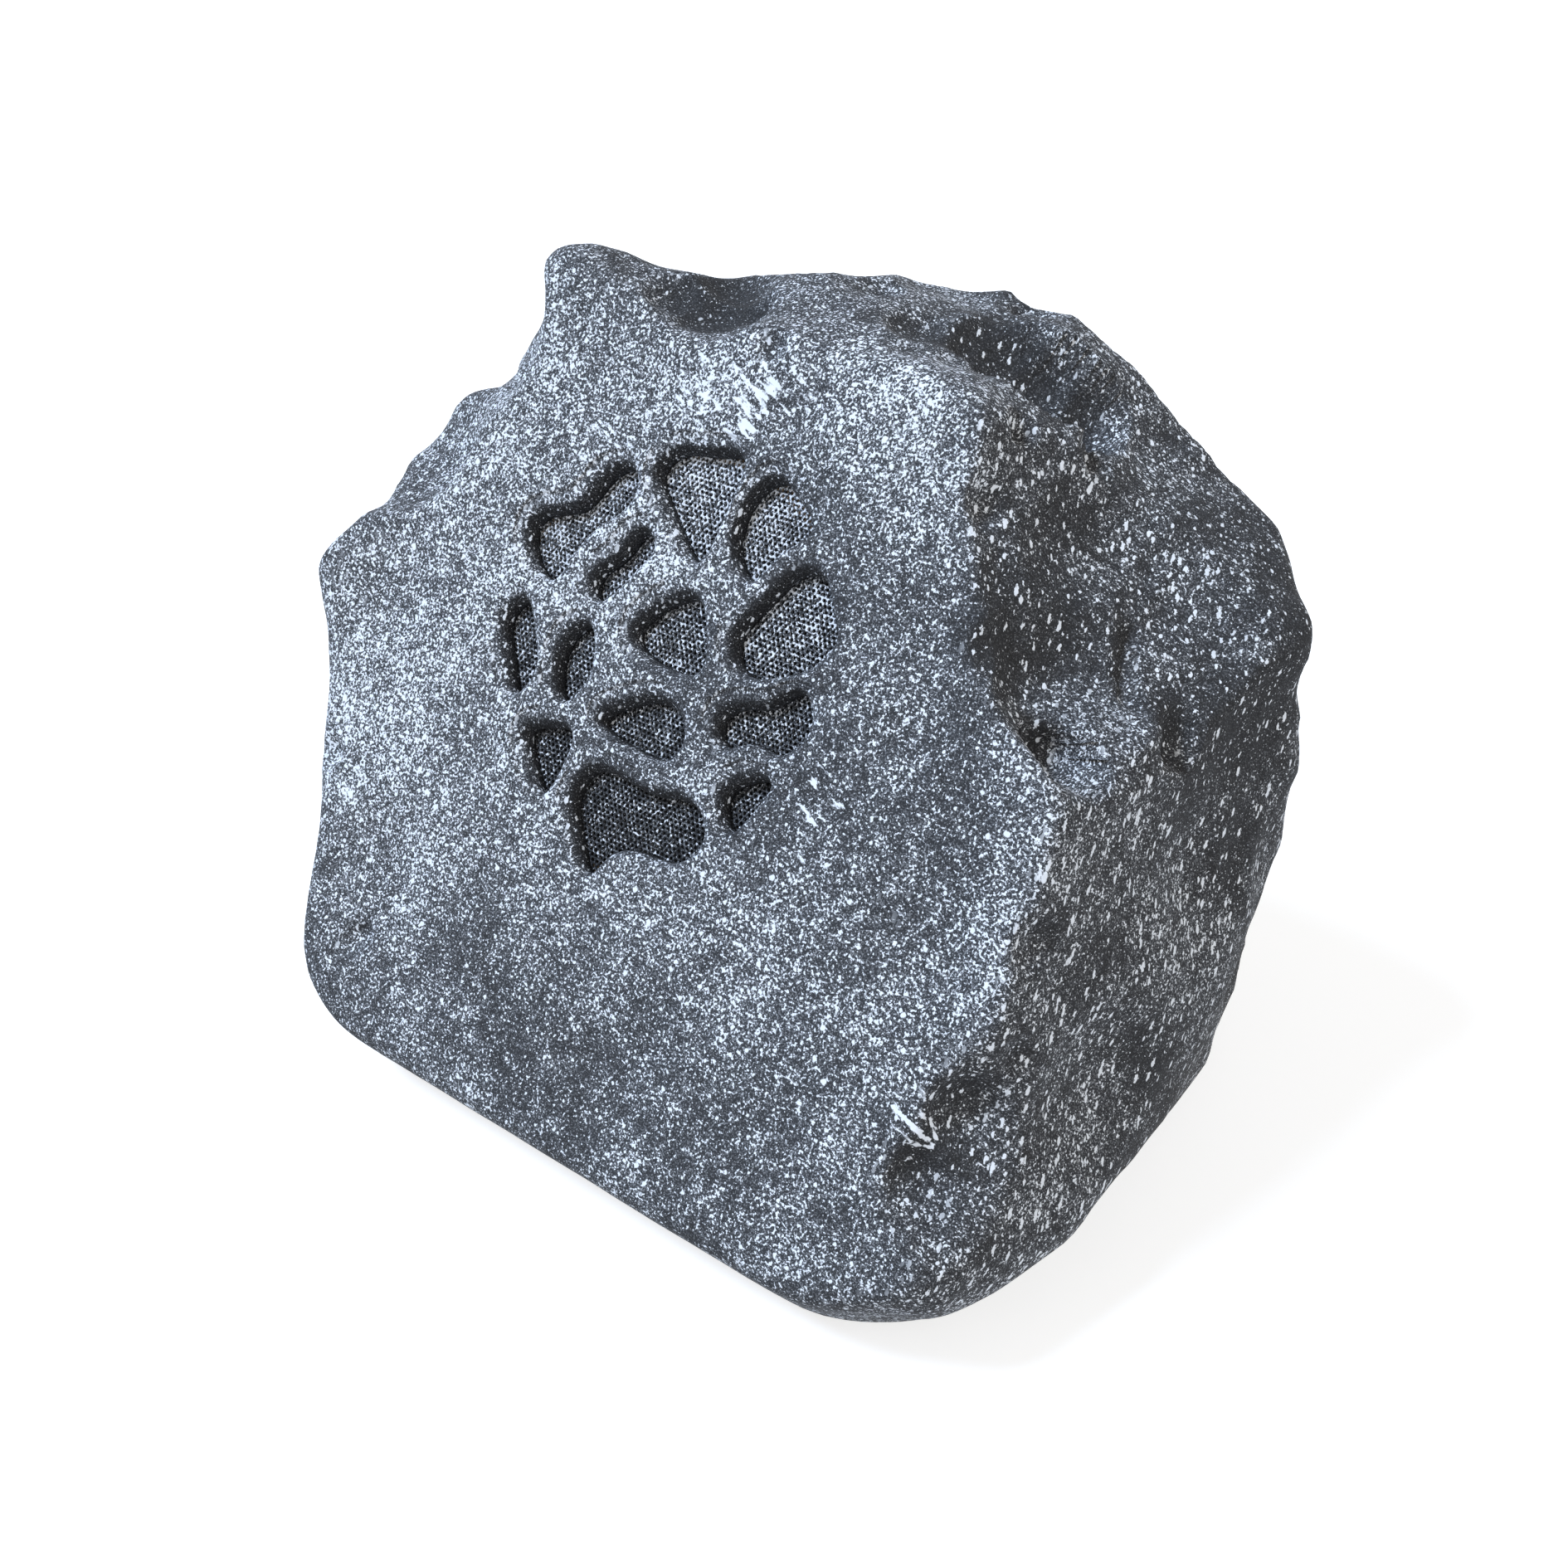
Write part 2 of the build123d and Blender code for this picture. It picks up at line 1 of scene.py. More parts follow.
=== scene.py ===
import bpy
import numpy as np
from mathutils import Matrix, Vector


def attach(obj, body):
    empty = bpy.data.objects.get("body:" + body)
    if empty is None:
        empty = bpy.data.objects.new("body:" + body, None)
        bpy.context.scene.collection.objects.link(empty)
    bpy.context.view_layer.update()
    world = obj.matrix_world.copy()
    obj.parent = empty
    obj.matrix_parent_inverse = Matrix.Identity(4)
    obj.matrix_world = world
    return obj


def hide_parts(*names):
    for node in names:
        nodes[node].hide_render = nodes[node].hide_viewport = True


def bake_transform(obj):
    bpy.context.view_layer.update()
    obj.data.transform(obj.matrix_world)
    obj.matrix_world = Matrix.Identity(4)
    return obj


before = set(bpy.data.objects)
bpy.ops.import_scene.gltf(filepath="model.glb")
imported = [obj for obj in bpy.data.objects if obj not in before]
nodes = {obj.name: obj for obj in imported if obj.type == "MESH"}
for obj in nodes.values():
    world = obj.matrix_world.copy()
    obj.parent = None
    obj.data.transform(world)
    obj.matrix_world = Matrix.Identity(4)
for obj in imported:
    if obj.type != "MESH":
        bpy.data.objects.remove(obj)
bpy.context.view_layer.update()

# Rock shell
# One hollow moulding in stone-filled resin, cast from a rubber mould of a hewn boulder, with a web of sound
# openings through its leaning front. It is sprayed charcoal and then flecked with pale granite paint.
millimetre = 0.001
heart = np.array([1.99, -13.57, 120]) * millimetre
wall = 5 * millimetre
web_thickness = 7 * millimetre
rim_height = 4 * millimetre
rim_round = 5 * millimetre
edge_power = 60

# Facets of the stone: azimuth (0 is the front, 90 the right), elevation and distance from the heart
stone_facets = {
    "front": (0, 31, 68),
    "front_base": (0, -35, 163),
    "corner_base": (40, -32, 203),
    "right_base": (84, -36, 192),
    "right": (78, 10, 163),
    "right_back": (104, -8, 185),
    "right_upper": (72, 38, 160),
    "back_right": (140, 0, 172),
    "top": (131, 88, 154),
    "top_right": (100, 54, 168),
    "back": (180, 10, 128),
    "back_left_upper": (-150, 47, 165),
    "back_left": (-130, 5, 164),
    "left": (-77, -15, 159),
    "left_upper": (-74, 35, 168),
    "left_base": (-40, -30, 190),
}

# Hollows chipped out of it: centre of the striking sphere from the heart, and its radius
stone_hollows = {
    "right_shoulder": ((223, -20, 188), 150),
    "right_scoop": ((148, -13, 100), 42),
    "crown": ((52, 46, 200), 52),
    "crown_left": ((-45, 70, 245), 95),
    "cleft": ((-36, 16, 178), 33),
    "left_step": ((-165, -37, 119), 56),
    "left_upper_step": ((-145, -18, 147), 51),
    "near_corner": ((191, -119, -18), 58),
}

# Scallops struck off the facets: facet, place to the right and up on it, radius of the strike and depth
stone_scallops = {
    "front_low_left": ("front", -100, -85, 120, 2.5),
    "front_low": ("front", 25, -112, 130, 2.5),
    "front_right": ("front", 122, -25, 110, 2.5),
    "front_left": ("front", -136, 10, 110, 2.5),
    "right_near": ("right", -5, -70, 80, 6),
    "right_far": ("right", 60, -25, 100, 4),
    "right_back_low": ("right_back", 20, -30, 100, 4),
    "back_right_broad": ("back_right", 0, 10, 110, 4),
    "back_upper": ("back", 40, 30, 120, 4),
    "back_low": ("back", 60, -60, 110, 4),
    "back_left_broad": ("back_left", 10, -10, 110, 4),
    "left_low": ("left", 10, -20, 110, 4),
}

# Chips along its ridges: place from the heart, the azimuth and elevation struck from, radius and depth
stone_chips = {
    "groove_left": ((28, 46, 152), 100, 70, 20, 4.5),
    "groove_middle": ((45, 58, 150), 95, 60, 22, 6),
    "groove_inner": ((58, 62, 147), 90, 58, 22, 6),
    "groove_right": ((72, 66, 143), 85, 55, 22, 6),
    "groove_end": ((87, 75, 136), 80, 50, 18, 4.5),
    "cleft_left": ((-52, 27, 150), 0, 75, 16, 4),
    "cleft_right": ((-38, 28, 150), -30, 70, 16, 5),
    "cleft_back": ((-42, 46, 152), 0, 80, 20, 5),
    "hump_step": ((-27, 34, 152), -60, 55, 12, 5),
    "hump_notch": ((3, 60, 154), 160, 70, 10, 4),
    "hump_far_notch": ((45, 92, 149), 150, 70, 10, 3),
    "shoulder_pit": ((87, 25, 140), 60, 45, 6, 5),
    "shoulder_pit_far": ((99, 52, 126), 70, 50, 8, 5),
    "ledge_notch": ((128, -20, 62), 58, 10, 11, 10),
    "ledge_notch_end": ((138, -20, 60), 62, 5, 7, 6),
    "ledge_end": ((156, 16, 60), 75, 0, 12, 6),
    "crack_top": ((133, 27, 82), 75, 30, 4, 4),
    "crack_upper": ((133, 21, 77), 75, 30, 4, 4),
    "crack_lower": ((135, 16, 72), 75, 30, 4, 4),
    "crack_foot": ((139, 11, 68), 75, 30, 4, 4),
    "ridge_top": ((90, 6, 122), 40, 30, 11, 2.5),
    "ridge_upper": ((104, -20, 88), 45, 25, 12, 3),
    "ridge_lower": ((156, -56, 22), 45, 5, 14, 2.5),
    "ridge_foot": ((158, -70, -12), 45, 0, 12, 2.5),
    "dent_upper": ((150, -84, -27), 40, 0, 16, 4),
    "dent_lower": ((143, -100, -42), 40, -5, 18, 4),
    "left_low_pit": ((-95, -111, -57), 10, 0, 6, 4),
    "left_nick": ((-135, -84, -10), -40, 0, 7, 3),
    "crown_pit": ((-2, 11, 148), 0, 60, 6, 4),
}

# Swells and dents left by weathering: place from the heart, spread and rise
stone_swells = {
    "peak": ((-92, 22, 156), 15, 7),
    "crown_hump": ((-15, 60, 152), 18, 5),
    "crown_nose": ((88, 95, 134), 16, 3),
    "left_nose": ((-164, -47, 46), 15, 7),
    "left_step_nose": ((-156, -10, 77), 11, 7),
    "left_upper_nose": ((-145, 8, 95), 8, 5),
    "left_upper_flank": ((-126, 23, 125), 15, -4),
    "left_upper_back": ((-140, 19, 107), 9, -7),
    "ledge": ((133, -9, 62), 10, 8),
    "ledge_tip": ((146, 3, 62), 9, 7),
    "upper_right": ((122, 74, 112), 30, -9),
    "far_right": ((174, 36, 44), 30, -7),
    "right_fill": ((178, -30, -22), 25, 4),
    "low_right": ((160, -74, -82), 28, 8),
    "low_left": ((-122, -114, -72), 20, 5),
}


def facing(azimuth, elevation):
    """The outward direction at an azimuth and an elevation, in degrees."""
    turn, rise = np.radians(azimuth), np.radians(elevation)
    return np.array([np.sin(turn) * np.cos(rise), -np.cos(turn) * np.cos(rise), np.sin(rise)])


def on_facet(name, to_right, to_up, off):
    """A point by its place on a facet and its height off it, from the facet's point nearest the heart."""
    azimuth, elevation, distance = stone_facets[name]
    outward = facing(azimuth, elevation)
    level = np.array([np.cos(np.radians(azimuth)), np.sin(np.radians(azimuth)), 0])
    spot = outward * (distance + off) + level * to_right + np.cross(outward, level) * to_up
    return heart + spot * millimetre


facet_out = np.array([facing(azimuth, elevation) for azimuth, elevation, _ in stone_facets.values()])
facet_reach = np.array([distance for _, _, distance in stone_facets.values()]) * millimetre
hollow_round = 4 * millimetre
scallop_round = 2 * millimetre
chip_round = 1.2 * millimetre
strikes = [
    (heart + np.array(spot) * millimetre, radius * millimetre, hollow_round)
    for spot, radius in stone_hollows.values()
]
strikes += [
    (on_facet(name, to_right, to_up, radius - depth), radius * millimetre, scallop_round)
    for name, to_right, to_up, radius, depth in stone_scallops.values()
]

# The driver's axis leans back with the front; the stone's rays start behind it on the same axis
axis_point = on_facet("front", -11, 22, 0)
front_out = facet_out[0]
right = np.array([1.0, 0.0, 0.0])
up_face = np.cross(front_out, right)
ray_start = 90
centre = axis_point - front_out * ray_start * millimetre
gland_axis = facing(180, 10)
gland_place = on_facet("back", -30, -88, 0)


def stone_noise(points, size, seed):
    """Smooth noise from -1 to 1: random values on a turned cubic lattice of that size, eased between the
    eight corners of the cell that each point lies in."""
    period = 32
    draw = np.random.default_rng(seed)
    lattice = draw.uniform(-1, 1, (period, period, period))
    turn = np.linalg.qr(draw.normal(size=(3, 3)))[0]
    spot = points @ turn / size
    cell = np.floor(spot).astype(int)
    share = spot - cell
    ease = share**3 * (share * (share * 6 - 15) + 10)
    total = np.zeros(points.shape[:-1])
    for corner in np.ndindex(2, 2, 2):
        weight = np.where(corner, ease, 1 - ease).prod(axis=-1)
        at = (cell + corner) % period
        total += weight * lattice[at[..., 0], at[..., 1], at[..., 2]]
    return total


def bells(points, places):
    """Bell curves added up, each with a height, and a place from the heart and a spread in millimetres."""
    total = np.zeros(points.shape[:-1])
    for spot, spread, height in places.values():
        off = (points - heart) / millimetre - spot
        total += height * np.exp(-(off**2).sum(axis=-1) / (2 * spread**2))
    return total


def smooth_least(first, second, width):
    """The lesser of two lengths, blended over that width where they come close."""
    mix = np.clip(0.5 + (second - first) / (2 * width), 0, 1)
    return second + (first - second) * mix - width * mix * (1 - mix)


# Relief of the weathered skin: waves and sharp crests, each with its size, height and seed, and the bend that
# winds the crests. The skin is calmer on the front and its web, at the rim, by the gland and at the smooth
# places
relief_waves = [(60, 1.6, 11), (28, 1.8, 12), (13, 1.0, 13)]
relief_crests = [(38, 1.0, 15), (17, 0.4, 16)]
crest_level = 0.45
crest_height = 4.2
bend_size = 34 * millimetre
bend_reach = 9
bend_seeds = (17, 18, 19)
front_calm = 0.55
front_skin = 9 * millimetre
web_calm = 0.4
web_reach = 88 * millimetre
rim_least = 0.1
rim_calm = 10 * millimetre
rim_fade = 40 * millimetre
gland_calm = 22 * millimetre
smooth_floor = 0.15
smooth_places = {
    "right_low": ((176, -12, -12), 42, 0.85),
    "front_foot": ((0, -120, -75), 80, 0.8),
    "left_foot": ((-135, -95, -60), 50, 0.6),
}


def stone_relief(points):
    """How far the weathered skin stands out: the named swells, three sizes of noise, and sharp crests that
    are a level less the size of a bent noise. The noise is weak where the skin is calm."""
    off_front = (axis_point - points) @ front_out
    from_axis = np.linalg.norm(np.cross(points - axis_point, front_out), axis=-1)
    on_front = np.exp(-((off_front / front_skin) ** 2))
    calm = 1 - front_calm * on_front - web_calm * on_front * np.exp(-((from_axis / web_reach) ** 8))
    calm *= np.clip((points[..., 2] - rim_calm) / rim_fade, rim_least, 1)
    calm *= np.clip(1 - bells(points, smooth_places), smooth_floor, 1)
    calm *= 1 - np.exp(-(((points - gland_place) ** 2).sum(axis=-1) / gland_calm**2) ** 2)
    waves = sum(height * stone_noise(points, size * millimetre, seed) for size, height, seed in relief_waves)
    bend = np.stack([stone_noise(points, bend_size, seed) for seed in bend_seeds], axis=-1)
    bent = points + bend * bend_reach * millimetre
    crests = sum(
        share * (crest_level - np.abs(stone_noise(bent, size * millimetre, seed)))
        for size, share, seed in relief_crests
    )
    waves += crest_height * crests
    return (bells(points, stone_swells) + calm * waves) * millimetre


least_slope = 1e-6


def stone_reach(rays, inset):
    """How far the stone reaches on rays from its centre: each ray ends at the facets, rounded by a power mean
    of how steeply it meets them, or at the first strike."""
    steep = np.maximum(rays @ facet_out.T, 0) / (facet_reach - inset - facet_out @ (centre - heart))
    reach = (steep**edge_power).sum(axis=-1) ** (-1 / edge_power)
    for spot, radius, blend in strikes:
        offset = spot - centre
        along = rays @ offset
        within = along**2 - offset @ offset + (radius + inset) ** 2
        near = np.where((within > 0) & (along > 0), along - np.sqrt(np.maximum(within, 0)), 1.0)
        reach = smooth_least(reach, near, blend)
    return reach


def stone_skin(rays, inset, floor, floor_round):
    """Points of the stone on rays from its centre: the relief moves each ray's end in or out, and the floor
    stops it."""
    reach = stone_reach(rays, inset)
    reach = reach + stone_relief(centre + rays * reach[..., None])
    down = np.minimum(rays[..., 2], -least_slope)
    reach = smooth_least(reach, (floor - centre[2]) / down, floor_round)
    return centre + rays * reach[..., None]


# Each chip bites the stone to its depth, where the ray through its place comes out
chip_floors = []
for spot, azimuth, elevation, radius, depth in stone_chips.values():
    ray = heart + np.array(spot) * millimetre - centre
    ray /= np.linalg.norm(ray)
    bitten = centre + ray * stone_reach(ray, 0.0)
    strike = facing(azimuth, elevation) * (radius - depth) * millimetre
    strikes.append((bitten + strike, radius * millimetre, chip_round))
    chip_floors.append((bitten - facing(azimuth, elevation) * depth * millimetre, radius * millimetre))


def full_turn(count):
    """Evenly spaced angles round a full turn."""
    return np.linspace(0, 2 * np.pi, count, endpoint=False)


def about_axis(turns):
    """Unit directions square to the driver's axis, at those turns about it."""
    return np.cos(turns)[:, None] * right + np.sin(turns)[:, None] * up_face


def polar_rays(angles, turns):
    """Unit rays at those angles from the driver's axis and those turns about it, as rings of rays."""
    return np.cos(angles)[:, None, None] * front_out + np.sin(angles)[:, None, None] * about_axis(turns)


def stone_rings(rows, columns, inset, floor, floor_round):
    """Rings of the stone from the front to the back, spaced evenly along the skin by a trial with finer rows
    and every eighth column."""
    turns = full_turn(columns)
    pole = 0.004
    trial = np.linspace(pole, np.pi - pole, 4 * rows)
    steps = np.diff(stone_skin(polar_rays(trial, turns[::8]), inset, floor, floor_round), axis=0)
    run = np.concatenate([[0], np.cumsum(np.linalg.norm(steps, axis=2).mean(axis=1))])
    angles = np.interp(np.linspace(0, run[-1], rows), run, trial)
    return stone_skin(polar_rays(angles, turns), inset, floor, floor_round)


def new_piece(name, points, faces):
    """A mesh object at the origin, from its points and the points' numbers round each face."""
    mesh = bpy.data.meshes.new(name)
    mesh.from_pydata(points, [], faces)
    piece = bpy.data.objects.new(name, mesh)
    bpy.context.scene.collection.objects.link(piece)
    return piece


def closed_lofts(name, rings):
    """Closed solids from rings[piece, row, column]: four-sided faces from each row to the next, and a cap on
    the first and last rows. Rows run away from the viewer who sees the columns go anticlockwise."""
    pieces, rows, columns = rings.shape[:3]
    index = np.arange(pieces * rows * columns).reshape(pieces, rows, columns)
    ahead = np.roll(index, -1, axis=2)
    sides = np.stack([index[:, :-1], index[:, 1:], ahead[:, 1:], ahead[:, :-1]], axis=-1)
    caps = np.concatenate([index[:, 0], index[:, -1, ::-1]])
    return new_piece(name, rings.reshape(-1, 3), [*sides.reshape(-1, 4).tolist(), *caps.tolist()])


def carve(piece, *steps):
    """Cut each cutter out of the piece, or join it on, and keep the resulting mesh alone."""
    for operation, cutter in steps:
        change = piece.modifiers.new(operation, "BOOLEAN")
        change.operation = operation
        change.solver = "MANIFOLD"
        change.object = cutter
    solid = piece.evaluated_get(bpy.context.evaluated_depsgraph_get())
    mesh = bpy.data.meshes.new_from_object(solid)
    mesh.materials.clear()
    piece.modifiers.clear()
    piece.data = mesh
    mesh.name = piece.name
    for _, cutter in steps:
        bpy.data.objects.remove(cutter)
    return piece


def rim_rings(inset, low, high):
    """An upright prism of the stone's outline at its rim, drawn in by inset: in each direction the nearest of
    the facets' traces on the rim's level."""
    turns = full_turn(240)
    around = np.stack([np.cos(turns), np.sin(turns), 0 * turns], axis=1)
    middle = np.array([centre[0], centre[1], rim_height])
    level = np.linalg.norm(facet_out[:, :2], axis=1)
    traces = (facet_reach - facet_out @ (middle - heart)) / level - inset
    steep = np.maximum(around @ facet_out.T / level, least_slope)
    outline = middle + around * (traces / steep).min(axis=1)[:, None]
    return np.stack([[outline * [1, 1, 0] + [0, 0, height] for height in (high, low)]])


def round_rings(radius, start, end):
    """A cylinder on the driver's axis between two depths behind the front."""
    circle = radius * about_axis(full_turn(160))
    return np.stack([[axis_point + circle - front_out * depth for depth in (start, end)]])


def closed_spline(points, count):
    """Evenly spaced points on the smooth closed curve through the given ones: cubic pieces over the chords,
    with slopes that make the curvature agree at each point."""
    points = np.array(points, float)
    size = len(points)
    chord = np.linalg.norm(np.roll(points, -1, axis=0) - points, axis=1)
    before = np.roll(chord, 1)
    pull = np.zeros((size, size))
    rows = np.arange(size)
    pull[rows, rows] = 2 * (before + chord)
    pull[rows, rows - 1] += chord
    pull[rows, (rows + 1) % size] += before
    climb = (np.roll(points, -1, axis=0) - points) / chord[:, None]
    bent = chord[:, None] * np.roll(climb, 1, axis=0) + before[:, None] * climb
    slopes = np.linalg.solve(pull, 3 * bent)
    run = np.concatenate([[0], np.cumsum(chord)])
    at = np.linspace(0, run[-1], count, endpoint=False)
    piece = np.searchsorted(run, at, side="right") - 1
    after = (piece + 1) % size
    share = ((at - run[piece]) / chord[piece])[:, None]
    length = chord[piece][:, None]
    return (
        points[piece] * (1 + 2 * share) * (1 - share) ** 2
        + points[after] * share**2 * (3 - 2 * share)
        + length * slopes[piece] * share * (1 - share) ** 2
        - length * slopes[after] * share**2 * (1 - share)
    )


# Sound openings in millimetres right and up from the driver's axis. Each has a lip flared into it, broad
# towards the upper left and narrow towards the lower right
lip_spread = 5.0
lip_bias = 3.0
lip_depth = 5.2
lip_lean = np.array([-0.75, 0.66])
rib_crest = 0.3
rib_share = 0.5
rib_bias = 0.22
plug_above = 8
plug_behind = 4
sound_openings = {
    "upper_left_bean": [
        (-67, 32), (-49, 42), (-42, 54), (-32, 60), (-28, 54), (-37, 40), (-45, 28), (-52, 15), (-61, 18),
    ],
    "small_bean": [(-33, 18), (-25, 31), (-18, 41), (-14, 39), (-17, 29), (-24, 18), (-30, 14)],
    "top_wedge": [
        (-21, 63), (-15, 70), (-1, 73), (11, 74), (12, 66), (10, 48), (6, 38), (-3, 43), (-15, 54),
    ],
    "top_right": [(21, 66), (27, 71), (37, 67), (45, 60), (38, 51), (28, 38), (22, 42)],
    "right_big": [
        (49, 46), (55, 46), (62, 38), (67, 29), (62, 19), (49, 11), (37, 9), (31, 16), (37, 32),
    ],
    "middle": [(-9, 7), (-1, 20), (12, 25), (18, 16), (21, 5), (5, 1)],
    "left_slot": [(-65, 0), (-60, 4), (-55, -1), (-48, -22), (-52, -27), (-58, -20)],
    "left_oval": [(-37, -14), (-36, -2), (-30, 4), (-24, -5), (-24, -15), (-31, -23)],
    "lower_middle": [(-12, -24), (-4, -17), (14, -11), (22, -16), (22, -25), (6, -29)],
    "lower_right": [
        (35, -11), (40, -3), (51, 1), (62, 9), (67, 5), (66, -7), (59, -12), (48, -12), (39, -16),
    ],
    "left_wedge": [(-41, -38), (-33, -34), (-23, -33), (-22, -43), (-27, -56), (-35, -49)],
    "bottom_big": [
        (-13, -52), (-9, -42), (1, -40), (19, -41), (36, -39), (43, -47),
        (36, -58), (18, -61), (9, -66), (3, -75), (-6, -66),
    ],
    "bottom_wedge": [(46, -32), (49, -27), (61, -22), (58, -32), (52, -41)],
}


def opening_outlines(count=76):
    """Every opening's smooth outline, anticlockwise, its outward directions, and how far its lip may spread:
    no farther than its share of the rib to the next opening, evened out over three points either way."""
    curves = []
    for outline in sound_openings.values():
        curve = closed_spline(outline, count)
        after = np.roll(curve, -1, axis=0)
        area = (curve[:, 0] * after[:, 1] - curve[:, 1] * after[:, 0]).sum()
        curves.append(curve if area > 0 else curve[::-1])
    curves = np.array(curves)
    along = np.roll(curves, -1, axis=1) - np.roll(curves, 1, axis=1)
    outward = np.stack([along[..., 1], -along[..., 0]], axis=-1)
    outward /= np.linalg.norm(along, axis=-1, keepdims=True)
    spreads = []
    for number, curve in enumerate(curves):
        others = np.delete(curves, number, axis=0).reshape(-1, 2)
        gap = np.linalg.norm(curve[:, None] - others, axis=-1).min(axis=1)
        upper_left = outward[number] @ lip_lean
        room = gap * (rib_share + rib_bias * upper_left) - rib_crest
        spread = np.minimum(lip_spread + lip_bias * upper_left, room)
        near = np.stack([np.roll(spread, shift) for shift in range(-3, 4)])
        spreads.append(np.minimum(spread, (near.mean(axis=0) + near.min(axis=0)) / 2))
    return curves, outward, np.array(spreads)


def opening_rings(rounds=7):
    """The plugs of the openings, from outside inwards: each outline drawn out by its lip above the front,
    brought in to its own size round a quarter of an ellipse, then straight through the web."""
    curves, outward, spreads = opening_outlines()
    turn = np.linspace(np.pi / 2, 0, rounds)
    share = np.concatenate([[1], 1 - np.cos(turn), [0]])
    through = web_thickness / millimetre + plug_behind
    depth = np.concatenate([[-plug_above], lip_depth * (1 - np.sin(turn)), [through]]) * millimetre
    flat = curves[:, None] + (outward * spreads[..., None])[:, None] * share[:, None, None]
    flat = flat * millimetre
    return axis_point + flat[..., :1] * right + flat[..., 1:] * up_face - front_out * depth[:, None, None]


gland_hole = 8.3 * millimetre
flange_bottom = 11.5 * millimetre
flange_top = 16.5 * millimetre
flange_width = 14 * millimetre
seat_inner = 82 * millimetre
seat_outer = 93 * millimetre
seat_depth = 15 * millimetre
sharp = 1e-5

outside = stone_rings(rows=204, columns=400, inset=0.0, floor=rim_height, floor_round=rim_round)
inside = stone_rings(rows=56, columns=96, inset=wall, floor=flange_top, floor_round=sharp)
rock_shell = closed_lofts("rock_shell_stone", outside[None])
cavity = closed_lofts("cavity", inside[None])
plate_recess = closed_lofts("plate_recess", rim_rings(wall, -wall, flange_bottom))
flange_opening = closed_lofts("flange_opening", rim_rings(wall + flange_width, -wall, flange_top + wall))
seat_ring = closed_lofts("seat_ring", round_rings(seat_outer, wall / 2, seat_depth))
seat_bore = closed_lofts("seat_bore", round_rings(seat_inner, web_thickness, seat_depth + wall))
opening_plugs = closed_lofts("opening_plugs", opening_rings())
turns = full_turn(48)[:, None]
gland_circle = gland_hole * (np.cos(turns) * -right + np.sin(turns) * np.cross(gland_axis, -right))
gland_ends = np.stack([[gland_place + gland_circle + gland_axis * end for end in (2 * wall, -3 * wall)]])
gland_drill = closed_lofts("gland_drill", gland_ends)
carve(
    rock_shell,
    ("DIFFERENCE", cavity),
    ("DIFFERENCE", plate_recess),
    ("DIFFERENCE", flange_opening),
    ("UNION", seat_ring),
    ("DIFFERENCE", seat_bore),
    ("DIFFERENCE", opening_plugs),
    ("DIFFERENCE", gland_drill),
)


def vectors_of(items, name):
    """That vector of every one of a mesh's items, as an array."""
    values = np.empty(len(items) * 3, np.float32)
    items.foreach_get(name, values)
    return values.reshape(-1, 3).astype(float)


def set_values(mesh, **layers):
    """Give every point of a mesh a value under each name."""
    for name, values in layers.items():
        layer = mesh.attributes.new(name, "FLOAT", "POINT")
        layer.data.foreach_set("value", values.astype(np.float32))


def ramp(values, start, width):
    """How far values are past a start, as a share of a width, from 0 to 1."""
    return np.clip((values - start) / width, 0, 1)


# Overspray: how thickly the flecks lie, thickest where the gun was held, thin on the sides that it hardly
# reached, thinner in the chips as painted shade, and thinner in the crown hollow and the cleft partly as
# painted shade. The opening walls lose the flecks and go black, partly as bare walls and partly as painted
# shade on the lips turned away from the light. Some patches were smeared while wet, and on the right side the
# flecks ran
stone_mesh = rock_shell.data
stone_mesh.shade_smooth()
stone_points = vectors_of(stone_mesh.vertices, "co")
stone_normals = vectors_of(stone_mesh.vertex_normals, "vector")
spray_least = 0.125
spray_faced = 0.20
spray_back = 0.12
spray_web = 0.10
spray_web_reach = 74 * millimetre
spray_waves = [(45, 0.13, 21), (15, 0.10, 22)]
chip_shade = 0.20
chip_share = 0.6
lip_turn_least = 0.35
lip_turn_gain = 1.6
gun_direction = facing(-30, 38)
run_direction = facing(80, 10)
# Places where the flecks lie thicker or thinner; the negative crown_hollow and cleft places are partly
# painted shade in those hollows
spray_and_shade_places = {
    "left": ((-125, -75, 25), 62, 0.29),
    "over_grille": ((-40, -15, 110), 38, 0.16),
    "peak": ((-100, 10, 140), 40, 0.08),
    "crown": ((10, 45, 153), 45, 0.09),
    "crown_hollow": ((52, 60, 146), 20, -0.26),
    "cleft": ((-42, 30, 152), 12, -0.20),
    "near_corner": ((118, -112, -76), 34, 0.12),
    "far_right": ((165, 62, 60), 42, -0.14),
    "low_right": ((158, -25, -15), 50, 0.12),
    "ridge": ((150, -45, 50), 16, 0.12),
    "crest": ((62, 12, 150), 22, 0.12),
}
smear_places = {
    "over_grille_left": ((-50, -14, 109), 13, 0.9),
    "over_grille": ((-18, 0, 131), 14, 0.8),
    "over_grille_right": ((8, 2, 136), 12, 0.8),
    "grille_foot": ((70, -59, 34), 11, 0.9),
    "dent_lip": ((139, -98, -32), 9, 1.0),
    "near_nose": ((128, -36, 68), 8, 0.8),
}
spray_seen = np.clip(stone_normals @ gun_direction, 0, 1)
overspray = spray_least + spray_faced * spray_seen + spray_back * np.clip(stone_normals[:, 1], 0, 1)
overspray += bells(stone_points, spray_and_shade_places)
for size, height, seed in spray_waves:
    overspray += height * stone_noise(stone_points, size * millimetre, seed)
